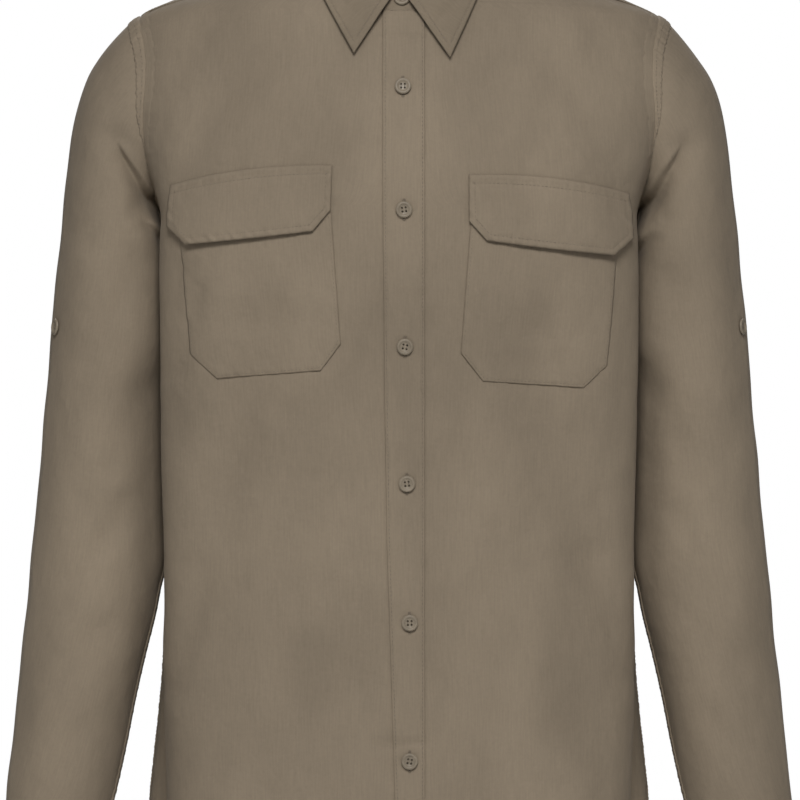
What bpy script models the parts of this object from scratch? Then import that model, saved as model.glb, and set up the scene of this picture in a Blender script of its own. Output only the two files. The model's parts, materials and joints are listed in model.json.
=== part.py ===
"""A long-sleeved safari shirt, filled out with no wearer.

Every piece of cloth is a thin closed wall. The torso is one smooth form, given by a short table of
level sections, and the panels, placket, pockets and flaps are parts of that form. The sleeves are
rings from the armholes to the cuffs. All sizes are in millimetres and become metres where a mesh is
made. +X is the wearer's left, the front faces -Y and +Z is up. The origin is the middle of the neck
opening, level with the highest points of the shoulders.
"""

import functools
import math

import bmesh
import bpy
import numpy as np

MM = 0.001

# Cloth and seams
CLOTH = 1.2
BAND = 1.8
SEAM_GAP = 0.3
LAYER = CLOTH + SEAM_GAP

# Torso: one row for each level section
TORSO_COLUMNS = ("z", "half_width", "front", "back", "front_power", "back_power")
TORSO_ROWS = (
    (22, 60, 52, 57, 2.2, 2.2),
    (14, 68, 62, 64, 2.2, 2.2),
    (0, 79, 71, 74, 2.2, 2.2),
    (-12, 104, 80, 85, 2.2, 2.2),
    (-25, 142, 90, 95, 2.2, 2.2),
    (-38, 173, 98, 103, 2.2, 2.2),
    (-51, 199, 104, 109, 2.3, 2.3),
    (-62, 205, 108, 113, 2.5, 2.4),
    (-80, 206, 112, 117, 2.9, 2.5),
    (-105, 205, 117, 120, 3.4, 2.7),
    (-140, 201, 123, 122, 4.2, 2.9),
    (-170, 194, 126, 122, 5.0, 3.0),
    (-205, 184, 127, 120, 5.8, 3.1),
    (-260, 183, 125, 116, 5.8, 3.1),
    (-330, 182.5, 121, 110, 5.8, 3.1),
    (-400, 181.5, 118, 106, 5.8, 3.1),
    (-480, 180.5, 118, 108, 5.6, 3.1),
    (-560, 184, 121, 113, 5.4, 3.1),
    (-660, 194, 126, 119, 5.0, 3.1),
    (-790, 205, 130, 124, 4.6, 3.1),
)
CROWN = 30.0

# Soft hollows of the body front: a line from one end to the other, its half width and depth
HOLLOW_COLUMNS = ("x0", "z0", "x1", "z1", "half_width", "depth")
FRONT_HOLLOWS = (
    (-96, -300, -160, -470, 34, 5.0),
    (96, -300, 160, -480, 34, 5.0),
    (-150, -520, -120, -700, 30, 3.0),
    (150, -500, 130, -690, 30, 3.0),
)
HOLLOW_FADE = 70.0
BACK_HOLLOWS = (
    (-70, -170, -120, -430, 36, 4.0),
    (74, -180, 116, -440, 36, 4.0),
    (-20, -420, 10, -650, 34, 3.5),
)

# Side of the body below the waist: the front lobe stays in and a soft groove parts it from the back
LOBE_TOP = -530.0
LOBE_BOTTOM = -700.0
LOBE_STEP = 17.0
LOBE_REACH = 36.0
GROOVE_Y = -24.0
GROOVE_HALF = 11.0
GROOVE_DEPTH = 9.0

# Neckline, an ellipse seen from above
NECK_HALF_WIDTH = 76.0
NECK_BACK_Y = 64.0
NECK_FRONT_Y = -106.0

# Armhole, an oval seen from the side
ARM_TOP = -51.0
ARM_BOTTOM = -205.0
ARM_FRONT = 60.0
ARM_BACK = 55.0
ARM_SIDES = 24
ARM_STEP = 2 * math.pi / ARM_SIDES
SLEEVE_CLEAR = 0.35

# Yoke seams, in steps of the armhole's sides
YOKE_FRONT_STEP = 1
YOKE_BACK_STEP = 4
YOKE_NECK_Y = -48.0
YOKE_COLUMNS_NECK = 6

# Placket: the free edge drifts towards the wearer's left on the way down
PLACKET_EDGE = ((-40, -12.2), (-190, -12.2), (-330, -11.0), (-460, -9.0), (-553, -6.0), (-651, -3.0), (-790, 0.0))
PLACKET_SEAM_X = 19.4
JOINT_X = 9.0

# Hem, a shallow shirt tail
HEM_SIDE = -716.0
HEM_FRONT = -765.0
HEM_BACK = -785.0

# Body levels below the armholes
BODY_LEVELS = (-226, -250, -275, -300, -325, -350, -378, -408, -438, -468, -498, -524, -548, -574, -602, -630, -660)
NECK_LEVELS = (-59.6, -58.2)
TOP_LEVELS = (-49.5, -43, -35.5, -27, -19, -15.5)
HEM_LEVELS = 3
PANEL_SHARES = (0, 0.13, 0.26, 0.38, 0.49, 0.59, 0.68, 0.76, 0.83, 0.90, 1)
BACK_SHARES = (0, 0.15, 0.30, 0.44, 0.56, 0.67, 0.77, 0.88, 1)
SHARE_CROWD = 2

# Sleeve: one row for each ring, from the armhole to the cuff
SLEEVE_COLUMNS = ("outer_x", "outer_z", "inner_x", "inner_z", "half_depth", "centre_y")
SLEEVE_RINGS = (
    (199.0, -51, 184.5, -205, 57.5, -2.5),
    (207.5, -55.5, 184.9, -207, 58.5, 0),
    (221.5, -70, 185.2, -213, 60, 2),
    (234.0, -86, 185.2, -222, 61, 4),
    (243.0, -101, 185.2, -233, 62, 5),
    (250.5, -122, 185.1, -248, 62.5, 6),
    (256.0, -148, 185.0, -266, 62.5, 7),
    (260.0, -185, 184.8, -292, 62, 8),
    (264.5, -226, 184.5, -320, 61.5, 9),
    (269.0, -270, 184.2, -350, 61, 10),
    (273.0, -315, 184.0, -380, 60.5, 10),
    (276.5, -360, 183.8, -412, 60, 10),
    (280.5, -405, 183.5, -444, 59.5, 9),
    (284.5, -450, 183.2, -478, 58.5, 7),
    (289.2, -500, 188.2, -513, 57.5, 3),
    (293.0, -543, 196.8, -549, 56, -2),
    (296.5, -580, 204.0, -582, 54, -8),
    (299.7, -615, 210.4, -616, 51, -14),
    (302.3, -643, 216.0, -643, 47, -20),
    (303.6, -662, 220.4, -662, 41, -24),
    (303.8, -671, 222.0, -671, 37, -25),
)
SLEEVE_BLEND_RINGS = 4.0

# Sleeve folds that run down into the armpit, seen from the front
SLEEVE_FOLD_COLUMNS = ("x0", "z0", "x1", "z1", "half_width", "depth")
LEFT_FOLDS = ((220, -158, 186, -206, 11, 5.0), (203, -214, 185, -242, 9, 2.5))
RIGHT_FOLDS = ((220, -150, 184, -200, 11, 5.0), (199, -206, 184, -232, 9, 2.5))

# Cuff
CUFF_HEIGHT = 58.0
CUFF_HALF_WIDTH = 40.9
CUFF_HALF_DEPTH = 36.0
CUFF_CENTRE = (262.9, -25.0, -671.3)
CUFF_DRIFT = (6.0, -4.0)
CUFF_LAP_ANGLE = 125.0
CUFF_LAP = 30.0
CUFF_COLUMNS = 26

# Sleeve placket, from the cuff up the back of the forearm
SLEEVE_PLACKET_SIDE = 7
SLEEVE_PLACKET_RINGS = 6

# Collar
STAND_FRONT = 19.0
STAND_BACK = 33.0
STAND_LEAN = 6.0
STAND_SEAT = 0.8
STAND_LAP_UNDER = 13.0
STAND_LAP_OVER = 14.0
STAND_COLUMNS = 34
LEAF_WALL = 1.5
LEAF_CLEAR = 5.0
LEAF_ROWS = 6
LEAF_COLUMNS = 15
LEAF_EDGE_COLUMNS = ("share", "x", "y", "z")
LEAF_EDGE = (
    (0.00, 36.8, -111, -91.5),
    (0.10, 47.5, -105, -70),
    (0.21, 59.0, -94, -47),
    (0.34, 74.0, -67, -25),
    (0.48, 88.0, -34, -11),
    (0.60, 93.0, 2, -5),
    (0.72, 85.0, 36, -2),
    (0.84, 60.0, 62, 1),
    (0.93, 29.0, 74, 4),
    (1.00, 0.0, 78, 5),
)
LEAF_TIP_SHIFT = {-1: (2.8, -1.5), 1: (2.0, -6.5)}
LEAF_START = 0.012
LEAF_FRONT_SHARE = 0.2

# Pockets: corners on the front as seen, for the wearer's right; the left one hangs lower
POCKET_OUTLINE = {
    -1: ((-168, -203), (-52, -191), (-43.6, -309), (-58.6, -329), (-137.6, -335), (-158.8, -316)),
    1: ((55, -198), (168, -210), (158, -325), (140.2, -342), (63, -337), (46.4, -316)),
}
FLAP_OUTLINE = {
    -1: ((-173.2, -188), (-49.9, -175), (-51, -209), (-64.4, -224), (-157.8, -233), (-172.6, -219)),
    1: ((52.2, -182), (175, -194), (174, -228), (159, -241), (65.6, -231), (52.2, -217)),
}
FLAP_RISE = ((0, SEAM_GAP), (3, 0.6), (13, 2.2), (30, 3.6), (52, 5.4))

# Buttons
BUTTON_PROFILE = ((0, 0.0), (5.4, 0.0), (6.25, 1.1), (5.8, 2.4), (4.6, 1.9), (0, 1.7))
BUTTON_SIDES = 14
BUTTON_PLACES = ((3.0, -116), (3.8, -208.5), (4.5, -311), (6.0, -414), (8.0, -518.5), (8.0, -622))
STAND_BUTTON_RISE = 7.2
SLEEVE_BUTTON_RING = 9.42
SLEEVE_BUTTON_ANGLE = -32.0
BUTTON_LIFT = 0.35

CLOTH_COLOUR = (0.245, 0.205, 0.155, 1)
BUTTON_COLOUR = (0.29, 0.25, 0.19, 1)


# Helpers for tables and curves
def smooth_rows(rows, key):
    """The rows' values at key, by a cubic through the rows, which run down in their first column."""
    table = np.array(rows, float)
    keys = table[:, 0]
    slopes = np.gradient(table, keys, axis=0)
    key = min(max(key, keys.min()), keys.max())
    i = int(np.searchsorted(-keys, -key))
    i = min(max(i, 1), len(keys) - 1)
    span = keys[i] - keys[i - 1]
    t = (key - keys[i - 1]) / span
    a, b = table[i - 1], table[i]
    da, db = slopes[i - 1] * span, slopes[i] * span
    return (
        a * (2 * t**3 - 3 * t**2 + 1)
        + da * (t**3 - 2 * t**2 + t)
        + b * (3 * t**2 - 2 * t**3)
        + db * (t**3 - t**2)
    )


def ease(t):
    t = min(max(t, 0.0), 1.0)
    return t * t * (3 - 2 * t)


def hollow(rows, x, z):
    """How deep the soft hollows are at x and z: each is a round-ended trough along its line."""
    total = 0.0
    for x0, z0, x1, z1, half, depth in rows:
        run = (x1 - x0) ** 2 + (z1 - z0) ** 2
        t = ((x - x0) * (x1 - x0) + (z - z0) * (z1 - z0)) / run
        t = min(max(t, 0.0), 1.0)
        gap = math.hypot(x - x0 - t * (x1 - x0), z - z0 - t * (z1 - z0))
        total += depth * math.exp(-((gap / half) ** 2))
    return total


# The torso's form
def level(z):
    return smooth_rows(TORSO_ROWS, z)


def side_depth(sizes, x, front):
    """The plain section's y at x, before hollows: the front is negative."""
    _, width, ahead, behind, front_power, back_power = sizes
    share = min(abs(x) / width, 1.0)
    power = front_power if front else back_power
    reach = (ahead if front else behind) - CROWN * share**2
    depth = reach * (1 - share**power) ** (1 / power)
    return -depth if front else depth


def settle(x, y, z):
    """Adds the hollows and the side groove to a point of the plain form."""
    if y < 0:
        y += hollow(FRONT_HOLLOWS, x, z) * ease(-y / HOLLOW_FADE)
    else:
        y -= hollow(BACK_HOLLOWS, x, z) * ease(y / HOLLOW_FADE)
    low = ease((LOBE_TOP - z) / (LOBE_TOP - LOBE_BOTTOM))
    side = ease((abs(x) - 120) / 50)
    step = LOBE_STEP * low * ease(-y / LOBE_REACH)
    groove = GROOVE_DEPTH * ease(low * 4) * math.exp(-(((y - GROOVE_Y) / GROOVE_HALF) ** 2))
    return x - math.copysign((step + groove) * side, x), y, z


@functools.lru_cache(maxsize=None)
def section_at(z, front):
    return Section(z, front)


def form_point(z, s, front):
    """The settled point of the body at a level, s along the cloth from the centre line."""
    x, y = section_at(round(z, 4), front).at(s)
    return np.array(settle(x, y, z))


def form_normal(z, s, front):
    """The way out of the body at a level, s along the cloth from the centre line."""
    end = section_at(round(z, 4), front).run[-1]
    s = min(max(s, 0.5 - end), end - 0.5)
    along = form_point(z, s + 0.5, front) - form_point(z, s - 0.5, front)
    up = form_point(z + 0.5, s, front) - form_point(z - 0.5, s, front)
    way = np.cross(along, up) if front else np.cross(up, along)
    return way / np.linalg.norm(way)


class Section:
    """Half a level section, from the centre line to the side, measured along the cloth."""

    def __init__(self, z, front):
        self.z = z
        sizes = level(z)
        turn = np.linspace(0, math.pi / 2, 161)
        power = sizes[4] if front else sizes[5]
        xs = sizes[1] * np.sin(turn) ** min(1.0, 3.2 / power)
        ys = np.array([side_depth(sizes, x, front) for x in xs])
        steps = np.hypot(np.diff(xs), np.diff(ys))
        self.x, self.y = xs, ys
        self.run = np.concatenate(([0], np.cumsum(steps)))

    def at(self, s):
        """The settled point at s along the cloth; s below zero is past the centre line."""
        x = np.interp(abs(s), self.run, self.x)
        y = np.interp(abs(s), self.run, self.y)
        return x * (1 if s >= 0 else -1), y

    def run_where(self, test):
        """The first place from the centre line where test(x, y) turns positive."""
        values = [test(x, y) for x, y in zip(self.x, self.y)]
        for i in range(1, len(values)):
            if values[i] >= 0 > values[i - 1]:
                share = -values[i - 1] / (values[i] - values[i - 1])
                return self.run[i - 1] + share * (self.run[i] - self.run[i - 1])
        return self.run[-1]

    def run_at_x(self, x):
        return math.copysign(float(np.interp(abs(x), self.x, self.run)), x)


def inside_torso(x, y, z):
    sizes = level(z)
    if abs(x) >= sizes[1]:
        return False
    return side_depth(sizes, x, True) < y < side_depth(sizes, x, False)


def top_height(x, y):
    """How high the shoulders are over x and y."""
    low, high = -115.0, 22.0
    for _ in range(40):
        middle = (low + high) / 2
        if inside_torso(x, y, middle):
            low = middle
        else:
            high = middle
    return low


def neck_offset(x, y):
    """Below zero inside the neckline and above zero outside it, seen from above."""
    centre = (NECK_BACK_Y + NECK_FRONT_Y) / 2
    half = (NECK_BACK_Y - NECK_FRONT_Y) / 2
    return (x / NECK_HALF_WIDTH) ** 2 + ((y - centre) / half) ** 2 - 1


def neck_point(angle):
    """A point of the neckline; the angle is 0 at the centre front and half a turn at the back."""
    centre = (NECK_BACK_Y + NECK_FRONT_Y) / 2
    half = (NECK_BACK_Y - NECK_FRONT_Y) / 2
    x = NECK_HALF_WIDTH * math.sin(angle)
    y = centre - half * math.cos(angle)
    return np.array([x, y, top_height(x, y)])


def arm_y(z, front):
    middle, half = (ARM_TOP + ARM_BOTTOM) / 2, (ARM_TOP - ARM_BOTTOM) / 2
    share = math.sqrt(max(0.0, 1 - ((z - middle) / half) ** 2))
    return -ARM_FRONT * share if front else ARM_BACK * share


def arm_z(step):
    middle, half = (ARM_TOP + ARM_BOTTOM) / 2, (ARM_TOP - ARM_BOTTOM) / 2
    return middle + half * math.cos(step * ARM_STEP)


def arm_run(section, front):
    """Where a level section meets the armhole."""
    edge = arm_y(section.z, front)
    if front:
        return section.run_where(lambda x, y: y - edge)
    return section.run_where(lambda x, y: edge - y)


def arm_point(step, front):
    """A corner of the armhole on the wearer's left; step 0 is its top."""
    z = arm_z(step)
    return form_point(z, arm_run(section_at(round(z, 4), front), front), front)


def yoke_front_y(x, end_x, end_y):
    """The front yoke seam, seen from above."""
    share = min(max((x - 70) / (end_x - 70), 0.0), 1.0)
    return YOKE_NECK_Y + (end_y - YOKE_NECK_Y) * share**3


# Mesh helpers
def new_material(name, colour, roughness):
    material = bpy.data.materials.new(name)
    material.use_nodes = True
    shader = material.node_tree.nodes["Principled BSDF"]
    shader.inputs["Base Color"].default_value = colour
    shader.inputs["Roughness"].default_value = roughness
    shader.inputs["Metallic"].default_value = 0.0
    return material


def add_object(name, points, faces, colour, roughness):
    mesh = bpy.data.meshes.new(name)
    mesh.from_pydata([tuple(p * MM for p in point) for point in points], [], faces)
    body = bmesh.new()
    body.from_mesh(mesh)
    bmesh.ops.recalc_face_normals(body, faces=body.faces)
    body.to_mesh(mesh)
    body.free()
    mesh.shade_smooth()
    mesh.set_sharp_from_angle(angle=math.radians(40))
    mesh.materials.append(new_material(name, colour, roughness))
    thing = bpy.data.objects.new(name, mesh)
    bpy.context.collection.objects.link(thing)
    return thing


def grid_normals(grid, wrap=False):
    """Outward normals of a grid whose columns and rows are in right-handed order."""
    grid = np.asarray(grid, float)
    if wrap:
        along = np.roll(grid, -1, axis=1) - np.roll(grid, 1, axis=1)
    else:
        along = np.gradient(grid, axis=1)
    down = np.gradient(grid, axis=0)
    normals = np.cross(along, down)
    size = np.linalg.norm(normals, axis=2, keepdims=True)
    return normals / np.maximum(size, 1e-9)


def grid_faces(rows, columns, wrap, first, turned):
    faces = []
    last = columns if wrap else columns - 1
    for r in range(rows - 1):
        for c in range(last):
            a = first + r * columns + c
            b = first + r * columns + (c + 1) % columns
            d = first + (r + 1) * columns + c
            e = first + (r + 1) * columns + (c + 1) % columns
            for face in ((a, b, e), (a, e, d)):
                faces.append(face[::-1] if turned else face)
    return faces


def rim_faces(rows, columns, wrap, second):
    """The faces that close the wall along the grid's edges."""
    loops = []
    top = [c for c in range(columns)]
    low = [(rows - 1) * columns + c for c in range(columns)]
    if wrap:
        loops += [top + [top[0]], low + [low[0]]]
    else:
        left = [r * columns for r in range(rows)]
        right = [r * columns + columns - 1 for r in range(rows)]
        loops += [top, low, left, right]
    faces = []
    for loop in loops:
        for a, b in zip(loop, loop[1:]):
            faces += [(a, b, b + second), (a, b + second, a + second)]
    return faces


def wall(name, outer, thickness, wrap=False, normals=None, colour=CLOTH_COLOUR):
    """A closed thin wall: the outer grid, an inner one behind it and the rims between them."""
    outer = np.asarray(outer, float)
    rows, columns, _ = outer.shape
    if normals is None:
        normals = grid_normals(outer, wrap)
    inner = outer - normals * thickness
    points = np.concatenate((outer.reshape(-1, 3), inner.reshape(-1, 3)))
    second = rows * columns
    faces = grid_faces(rows, columns, wrap, 0, False)
    faces += grid_faces(rows, columns, wrap, second, True)
    faces += rim_faces(rows, columns, wrap, second)
    return add_object(name, points.tolist(), faces, colour, 0.85)


def pull_back(grid, side, distance):
    """Moves one edge of a grid towards the next line, to leave half a seam's gap."""
    grid = np.array(grid, float)
    views = {
        "first_row": (grid[0], grid[1]),
        "last_row": (grid[-1], grid[-2]),
        "first_column": (grid[:, 0], grid[:, 1]),
        "last_column": (grid[:, -1], grid[:, -2]),
    }
    edge, beside = views[side]
    way = beside - edge
    size = np.maximum(np.linalg.norm(way, axis=1, keepdims=True), 1e-6)
    edge += way / size * distance
    return grid


# Body panels
def arm_levels():
    return [arm_z(step) for step in range(YOKE_FRONT_STEP, ARM_SIDES // 2 + 1)]


def hem_level(x, front):
    """The shirt tail's lower edge, deepest at the middle."""
    middle = HEM_FRONT if front else HEM_BACK
    share = min(abs(x) / 190.0, 1.0)
    return middle + (HEM_SIDE - middle) * ease((share - 0.25) / 0.75)


def front_levels():
    levels = list(TOP_LEVELS) + arm_levels() + list(NECK_LEVELS) + list(BODY_LEVELS)
    return sorted(levels, reverse=True)


def placket_x(z):
    zs = [-row[0] for row in PLACKET_EDGE]
    xs = [row[1] for row in PLACKET_EDGE]
    return float(np.interp(-z, zs, xs))


def seam_end():
    """Where the front yoke seam meets the armhole."""
    return arm_point(YOKE_FRONT_STEP, True)


def front_run_limits(section, side):
    """The first and last places of one front panel on a level section."""
    z = section.z
    end = seam_end()
    if z >= arm_z(YOKE_FRONT_STEP) - 0.01:
        last = section.run_where(lambda x, y: y - yoke_front_y(x, end[0], end[1]))
    elif z >= ARM_BOTTOM:
        last = arm_run(section, True)
    else:
        last = section.run[-1]
    joint = JOINT_X if side < 0 else JOINT_X + SEAM_GAP
    first = section.run_at_x(joint * side)
    edge = section.run_at_x((placket_x(z) if side < 0 else PLACKET_SEAM_X) * side)
    if neck_offset(*section.at(first)) < 0 or neck_offset(*section.at(edge)) < 0:
        around = section.run_where(neck_offset)
        if neck_offset(*section.at(first)) < 0:
            first = around
        if neck_offset(*section.at(edge)) < 0:
            edge = max(around, first) + 0.12 * max(last - around, 1.0)
    return first, max(edge, first + 1.0), last


def crowd(shares, first, last, end):
    """Places from first to last; those near last crowd where the armhole cuts the row short."""
    short = 1 - (last - first) / (end - first)
    return [first + (end - first) * share * (1 - short * share**SHARE_CROWD) for share in shares]


def front_row(z, side, hem_share=0.0):
    """One row of a front panel from the centre to the side: points and the ways out there.

    hem_share drops the row from its level to the hem.
    """
    section = section_at(round(z, 4), True)
    first, edge, last = front_run_limits(section, side)
    end = max(section.run[-1], last) if z < arm_z(YOKE_FRONT_STEP) else last
    spots = [first] + crowd(PANEL_SHARES, edge, last - SEAM_GAP / 2, end)
    mirror = np.array([side, 1, 1])
    row, ways = [], []
    for s in spots:
        x, _ = section.at(s)
        deep = z + (hem_level(x, True) - z) * hem_share
        row.append(form_point(deep, s, True) * mirror)
        ways.append(form_normal(deep, s, True) * mirror)
    return row, ways


def front_grid(side):
    """The points of a front panel's outer side, row by row from the top, and the ways out."""
    rows = [front_row(z, side) for z in front_levels()]
    for i in range(1, HEM_LEVELS + 1):
        rows.append(front_row(BODY_LEVELS[-1], side, hem_share=i / HEM_LEVELS))
    grid = np.array([row for row, _ in rows])
    return pull_back(grid, "first_row", SEAM_GAP / 2), np.array([ways for _, ways in rows])


def front_panel(name, side):
    grid, normals = front_grid(side)
    return wall(name, grid, CLOTH, normals=normals)


def back_row(z, hem_share=0.0):
    section = section_at(round(z, 4), False)
    last = arm_run(section, False) if z >= ARM_BOTTOM else section.run[-1]
    half = crowd(BACK_SHARES, 0.0, last - SEAM_GAP / 2, section.run[-1])
    row, ways = [], []
    for s in [-s for s in half[:0:-1]] + half:
        x, _ = section.at(s)
        deep = z + (hem_level(x, False) - z) * hem_share
        row.append(form_point(deep, s, False))
        ways.append(form_normal(deep, s, False))
    return row, ways


def back_panel():
    levels = [z for z in arm_levels() if z <= arm_z(YOKE_BACK_STEP) + 0.01]
    rows = [back_row(z) for z in levels + list(BODY_LEVELS)]
    for i in range(1, HEM_LEVELS + 1):
        rows.append(back_row(BODY_LEVELS[-1], hem_share=i / HEM_LEVELS))
    grid = pull_back(np.array([row for row, _ in rows]), "first_row", SEAM_GAP / 2)
    return wall("back", grid, CLOTH, normals=np.array([ways for _, ways in rows]))


# Yoke: a patch between the back seam, the armhole, the front seam and the neckline
def along(points, count):
    """Points spread evenly along a line of points."""
    points = np.array(points, float)
    run = np.concatenate(([0], np.cumsum(np.linalg.norm(np.diff(points, axis=0), axis=1))))
    spots = np.linspace(0, run[-1], count)
    return np.array([[np.interp(s, run, points[:, k]) for k in range(3)] for s in spots])


def on_torso(point):
    """Moves a point near the shoulders onto the form, along a ray from inside."""
    centre = np.array([point[0] * 0.75, 0.0, -110.0])
    low, high = 0.4, 1.6
    for _ in range(36):
        middle = (low + high) / 2
        x, y, z = centre + (point - centre) * middle
        if z < 22 and inside_torso(x, y, z):
            low = middle
        else:
            high = middle
    return centre + (point - centre) * low


def yoke_front_points():
    """The front panel's ends on the yoke seam, from the armhole to the neckline."""
    levels = [z for z in front_levels() if z >= arm_z(YOKE_FRONT_STEP) - 0.01]
    points = []
    for z in levels:
        section = section_at(round(z, 4), True)
        x, y = section.at(front_run_limits(section, 1)[2])
        points.append((x, y, z))
    return np.array(points[::-1])


def yoke_edges():
    seam = yoke_front_points()[::-1]
    low, high = math.pi / 6, math.pi * 0.75
    for _ in range(30):
        start = (low + high) / 2
        if neck_point(start)[1] > seam[0][1]:
            high = start
        else:
            low = start
    neck = along([neck_point(a) for a in np.linspace(math.pi, start, 40)], YOKE_COLUMNS_NECK + 1)
    top = np.concatenate((neck[:-1], seam))
    low_z = arm_z(YOKE_BACK_STEP)
    end = arm_run(section_at(round(low_z, 4), False), False)
    bottom = np.array([form_point(low_z, s, False) for s in np.linspace(0, end, len(top))])
    middle = [(0, side_depth(level(z), 0, False), z) for z in np.linspace(bottom[0][2], top[0][2], 60)]
    rim = [arm_point(k, False) for k in range(YOKE_BACK_STEP, -1, -1)]
    rim += [arm_point(k, True) for k in range(1, YOKE_FRONT_STEP + 1)]
    return bottom, top, along(middle, len(rim)), np.array(rim)


def yoke_grid():
    bottom, top, left, right = yoke_edges()
    rows, columns = len(right), len(top)
    half = np.zeros((rows, columns, 3))
    for r in range(rows):
        v = r / (rows - 1)
        for c in range(columns):
            u = c / (columns - 1)
            plain = (1 - v) * bottom[c] + v * top[c] + (1 - u) * left[r] + u * right[r]
            corners = (1 - u) * (1 - v) * bottom[0] + u * (1 - v) * bottom[-1]
            corners = corners + (1 - u) * v * top[0] + u * v * top[-1]
            spot = plain - corners
            edge = r in (0, rows - 1) or c in (0, columns - 1)
            half[r, c] = spot if edge else on_torso(spot)
    other = half[:, :0:-1] * np.array([-1, 1, 1])
    grid = np.concatenate((other, half), axis=1)
    for side in ("first_column", "last_column", "first_row", "last_row"):
        grid = pull_back(grid, side, SEAM_GAP / 2)
    return grid


def torso_way(point):
    """The way out of the plain torso at a point on it."""
    def swell(x, y, z):
        sizes = level(z)
        power = sizes[4] if y < 0 else sizes[5]
        reach = (sizes[2] if y < 0 else sizes[3]) - CROWN * (x / sizes[1]) ** 2
        return abs(x / sizes[1]) ** power + abs(y / reach) ** power

    x, y, z = point
    way = [swell(x + 0.4, y, z) - swell(x - 0.4, y, z)]
    way.append(swell(x, y + 0.4, z) - swell(x, y - 0.4, z))
    way.append(swell(x, y, z + 0.4) - swell(x, y, z - 0.4))
    return np.array(way) / np.linalg.norm(way)


def yoke():
    grid = yoke_grid()
    ways = [[torso_way(point) for point in row] for row in grid]
    return wall("yoke", grid, CLOTH, normals=np.array(ways))


# Placket, pockets and flaps, made from the front panels' own faces, moved out
def placket():
    right, right_normals = front_grid(-1)
    left, left_normals = front_grid(1)
    levels = front_levels()
    first = next(i for i, z in enumerate(levels) if z < NECK_LEVELS[0] + 0.01)
    middle = (right[first:, 0] + left[first:, 0]) / 2
    middle_normals = right_normals[first:, 0]
    base = np.stack((right[first:, 1], middle, left[first:, 1]), axis=1)
    normals = np.stack((right_normals[first:, 1], middle_normals, left_normals[first:, 1]), axis=1)
    base[0, :, 2] -= SEAM_GAP
    return wall("placket", base + normals * LAYER, CLOTH, normals=normals)


def cut_patch(grid, normals, outline):
    """The faces of a front panel inside an outline of (x, z) corners, with their normals."""
    body = bmesh.new()
    rows, columns, _ = grid.shape
    keep = body.verts.layers.float_vector.new("way")
    spots = grid.reshape(-1, 3)
    ways = normals.reshape(-1, 3)
    for spot, way in zip(spots, ways):
        vertex = body.verts.new(spot)
        vertex[keep] = way
    body.verts.ensure_lookup_table()
    for face in grid_faces(rows, columns, False, 0, False):
        body.faces.new([body.verts[i] for i in face])
    middle = np.mean(outline, axis=0)
    for a, b in zip(outline, list(outline[1:]) + [outline[0]]):
        across = np.array([b[1] - a[1], -(b[0] - a[0])], float)
        if np.dot(across, np.array(a) - middle) < 0:
            across = -across
        everything = list(body.verts) + list(body.edges) + list(body.faces)
        bmesh.ops.bisect_plane(
            body,
            geom=everything,
            dist=1e-4,
            plane_co=(a[0], 0, a[1]),
            plane_no=(across[0], 0, across[1]),
            clear_outer=True,
        )
    points, ways = [], []
    index = {}
    for vertex in body.verts:
        index[vertex] = len(points)
        points.append(np.array(vertex.co))
        way = np.array(vertex[keep])
        ways.append(way / max(np.linalg.norm(way), 1e-9))
    faces = [[index[v] for v in face.verts] for face in body.faces]
    body.free()
    return np.array(points), np.array(ways), faces


def plate(name, patch, near, thickness):
    """A wall over a patch of faces; near gives how far its inner side is moved out."""
    points, ways, faces = patch
    lift = np.array([near(p) for p in points])[:, None]
    inner = points + ways * lift
    outer = points + ways * (lift + thickness)
    count = len(points)
    edges = {}
    for face in faces:
        for a, b in zip(face, face[1:] + face[:1]):
            edges[(a, b)] = True
    solid = [list(reversed(face)) for face in faces]
    solid += [[i + count for i in face] for face in faces]
    for a, b in edges:
        if (b, a) not in edges:
            solid.append([a, b, b + count, a + count])
    return add_object(name, np.concatenate((inner, outer)).tolist(), solid, CLOTH_COLOUR, 0.85)


def pocket(name, side):
    patch = cut_patch(*front_grid(side), POCKET_OUTLINE[side])
    return plate(name, patch, lambda point: SEAM_GAP, CLOTH)


def flap(name, side):
    outline = FLAP_OUTLINE[side]
    (x0, z0), (x1, z1) = outline[0], outline[1]
    drops = [row[0] for row in FLAP_RISE]
    lifts = [row[1] for row in FLAP_RISE]

    def rise(point):
        edge = z0 + (z1 - z0) * (point[0] - x0) / (x1 - x0)
        return float(np.interp(edge - point[2], drops, lifts))

    patch = cut_patch(*front_grid(side), outline)
    return plate(name, patch, rise, CLOTH)


# Sleeves
def ring_sizes(t):
    """The sleeve's sizes at t rings from the armhole."""
    i = min(int(t), len(SLEEVE_RINGS) - 2)
    a, b = np.array(SLEEVE_RINGS[i], float), np.array(SLEEVE_RINGS[i + 1], float)
    return a + (b - a) * (t - i)


def plain_sleeve_point(t, angle):
    """A point of the left sleeve's ring; the angle is 0 outside and grows towards the back."""
    outer_x, outer_z, inner_x, inner_z, half_depth, centre_y = ring_sizes(t)
    middle = np.array([(outer_x + inner_x) / 2, centre_y, (outer_z + inner_z) / 2])
    reach = np.array([(outer_x - inner_x) / 2, 0, (outer_z - inner_z) / 2])
    return middle + reach * math.cos(angle) + np.array([0, half_depth, 0]) * math.sin(angle)


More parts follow.
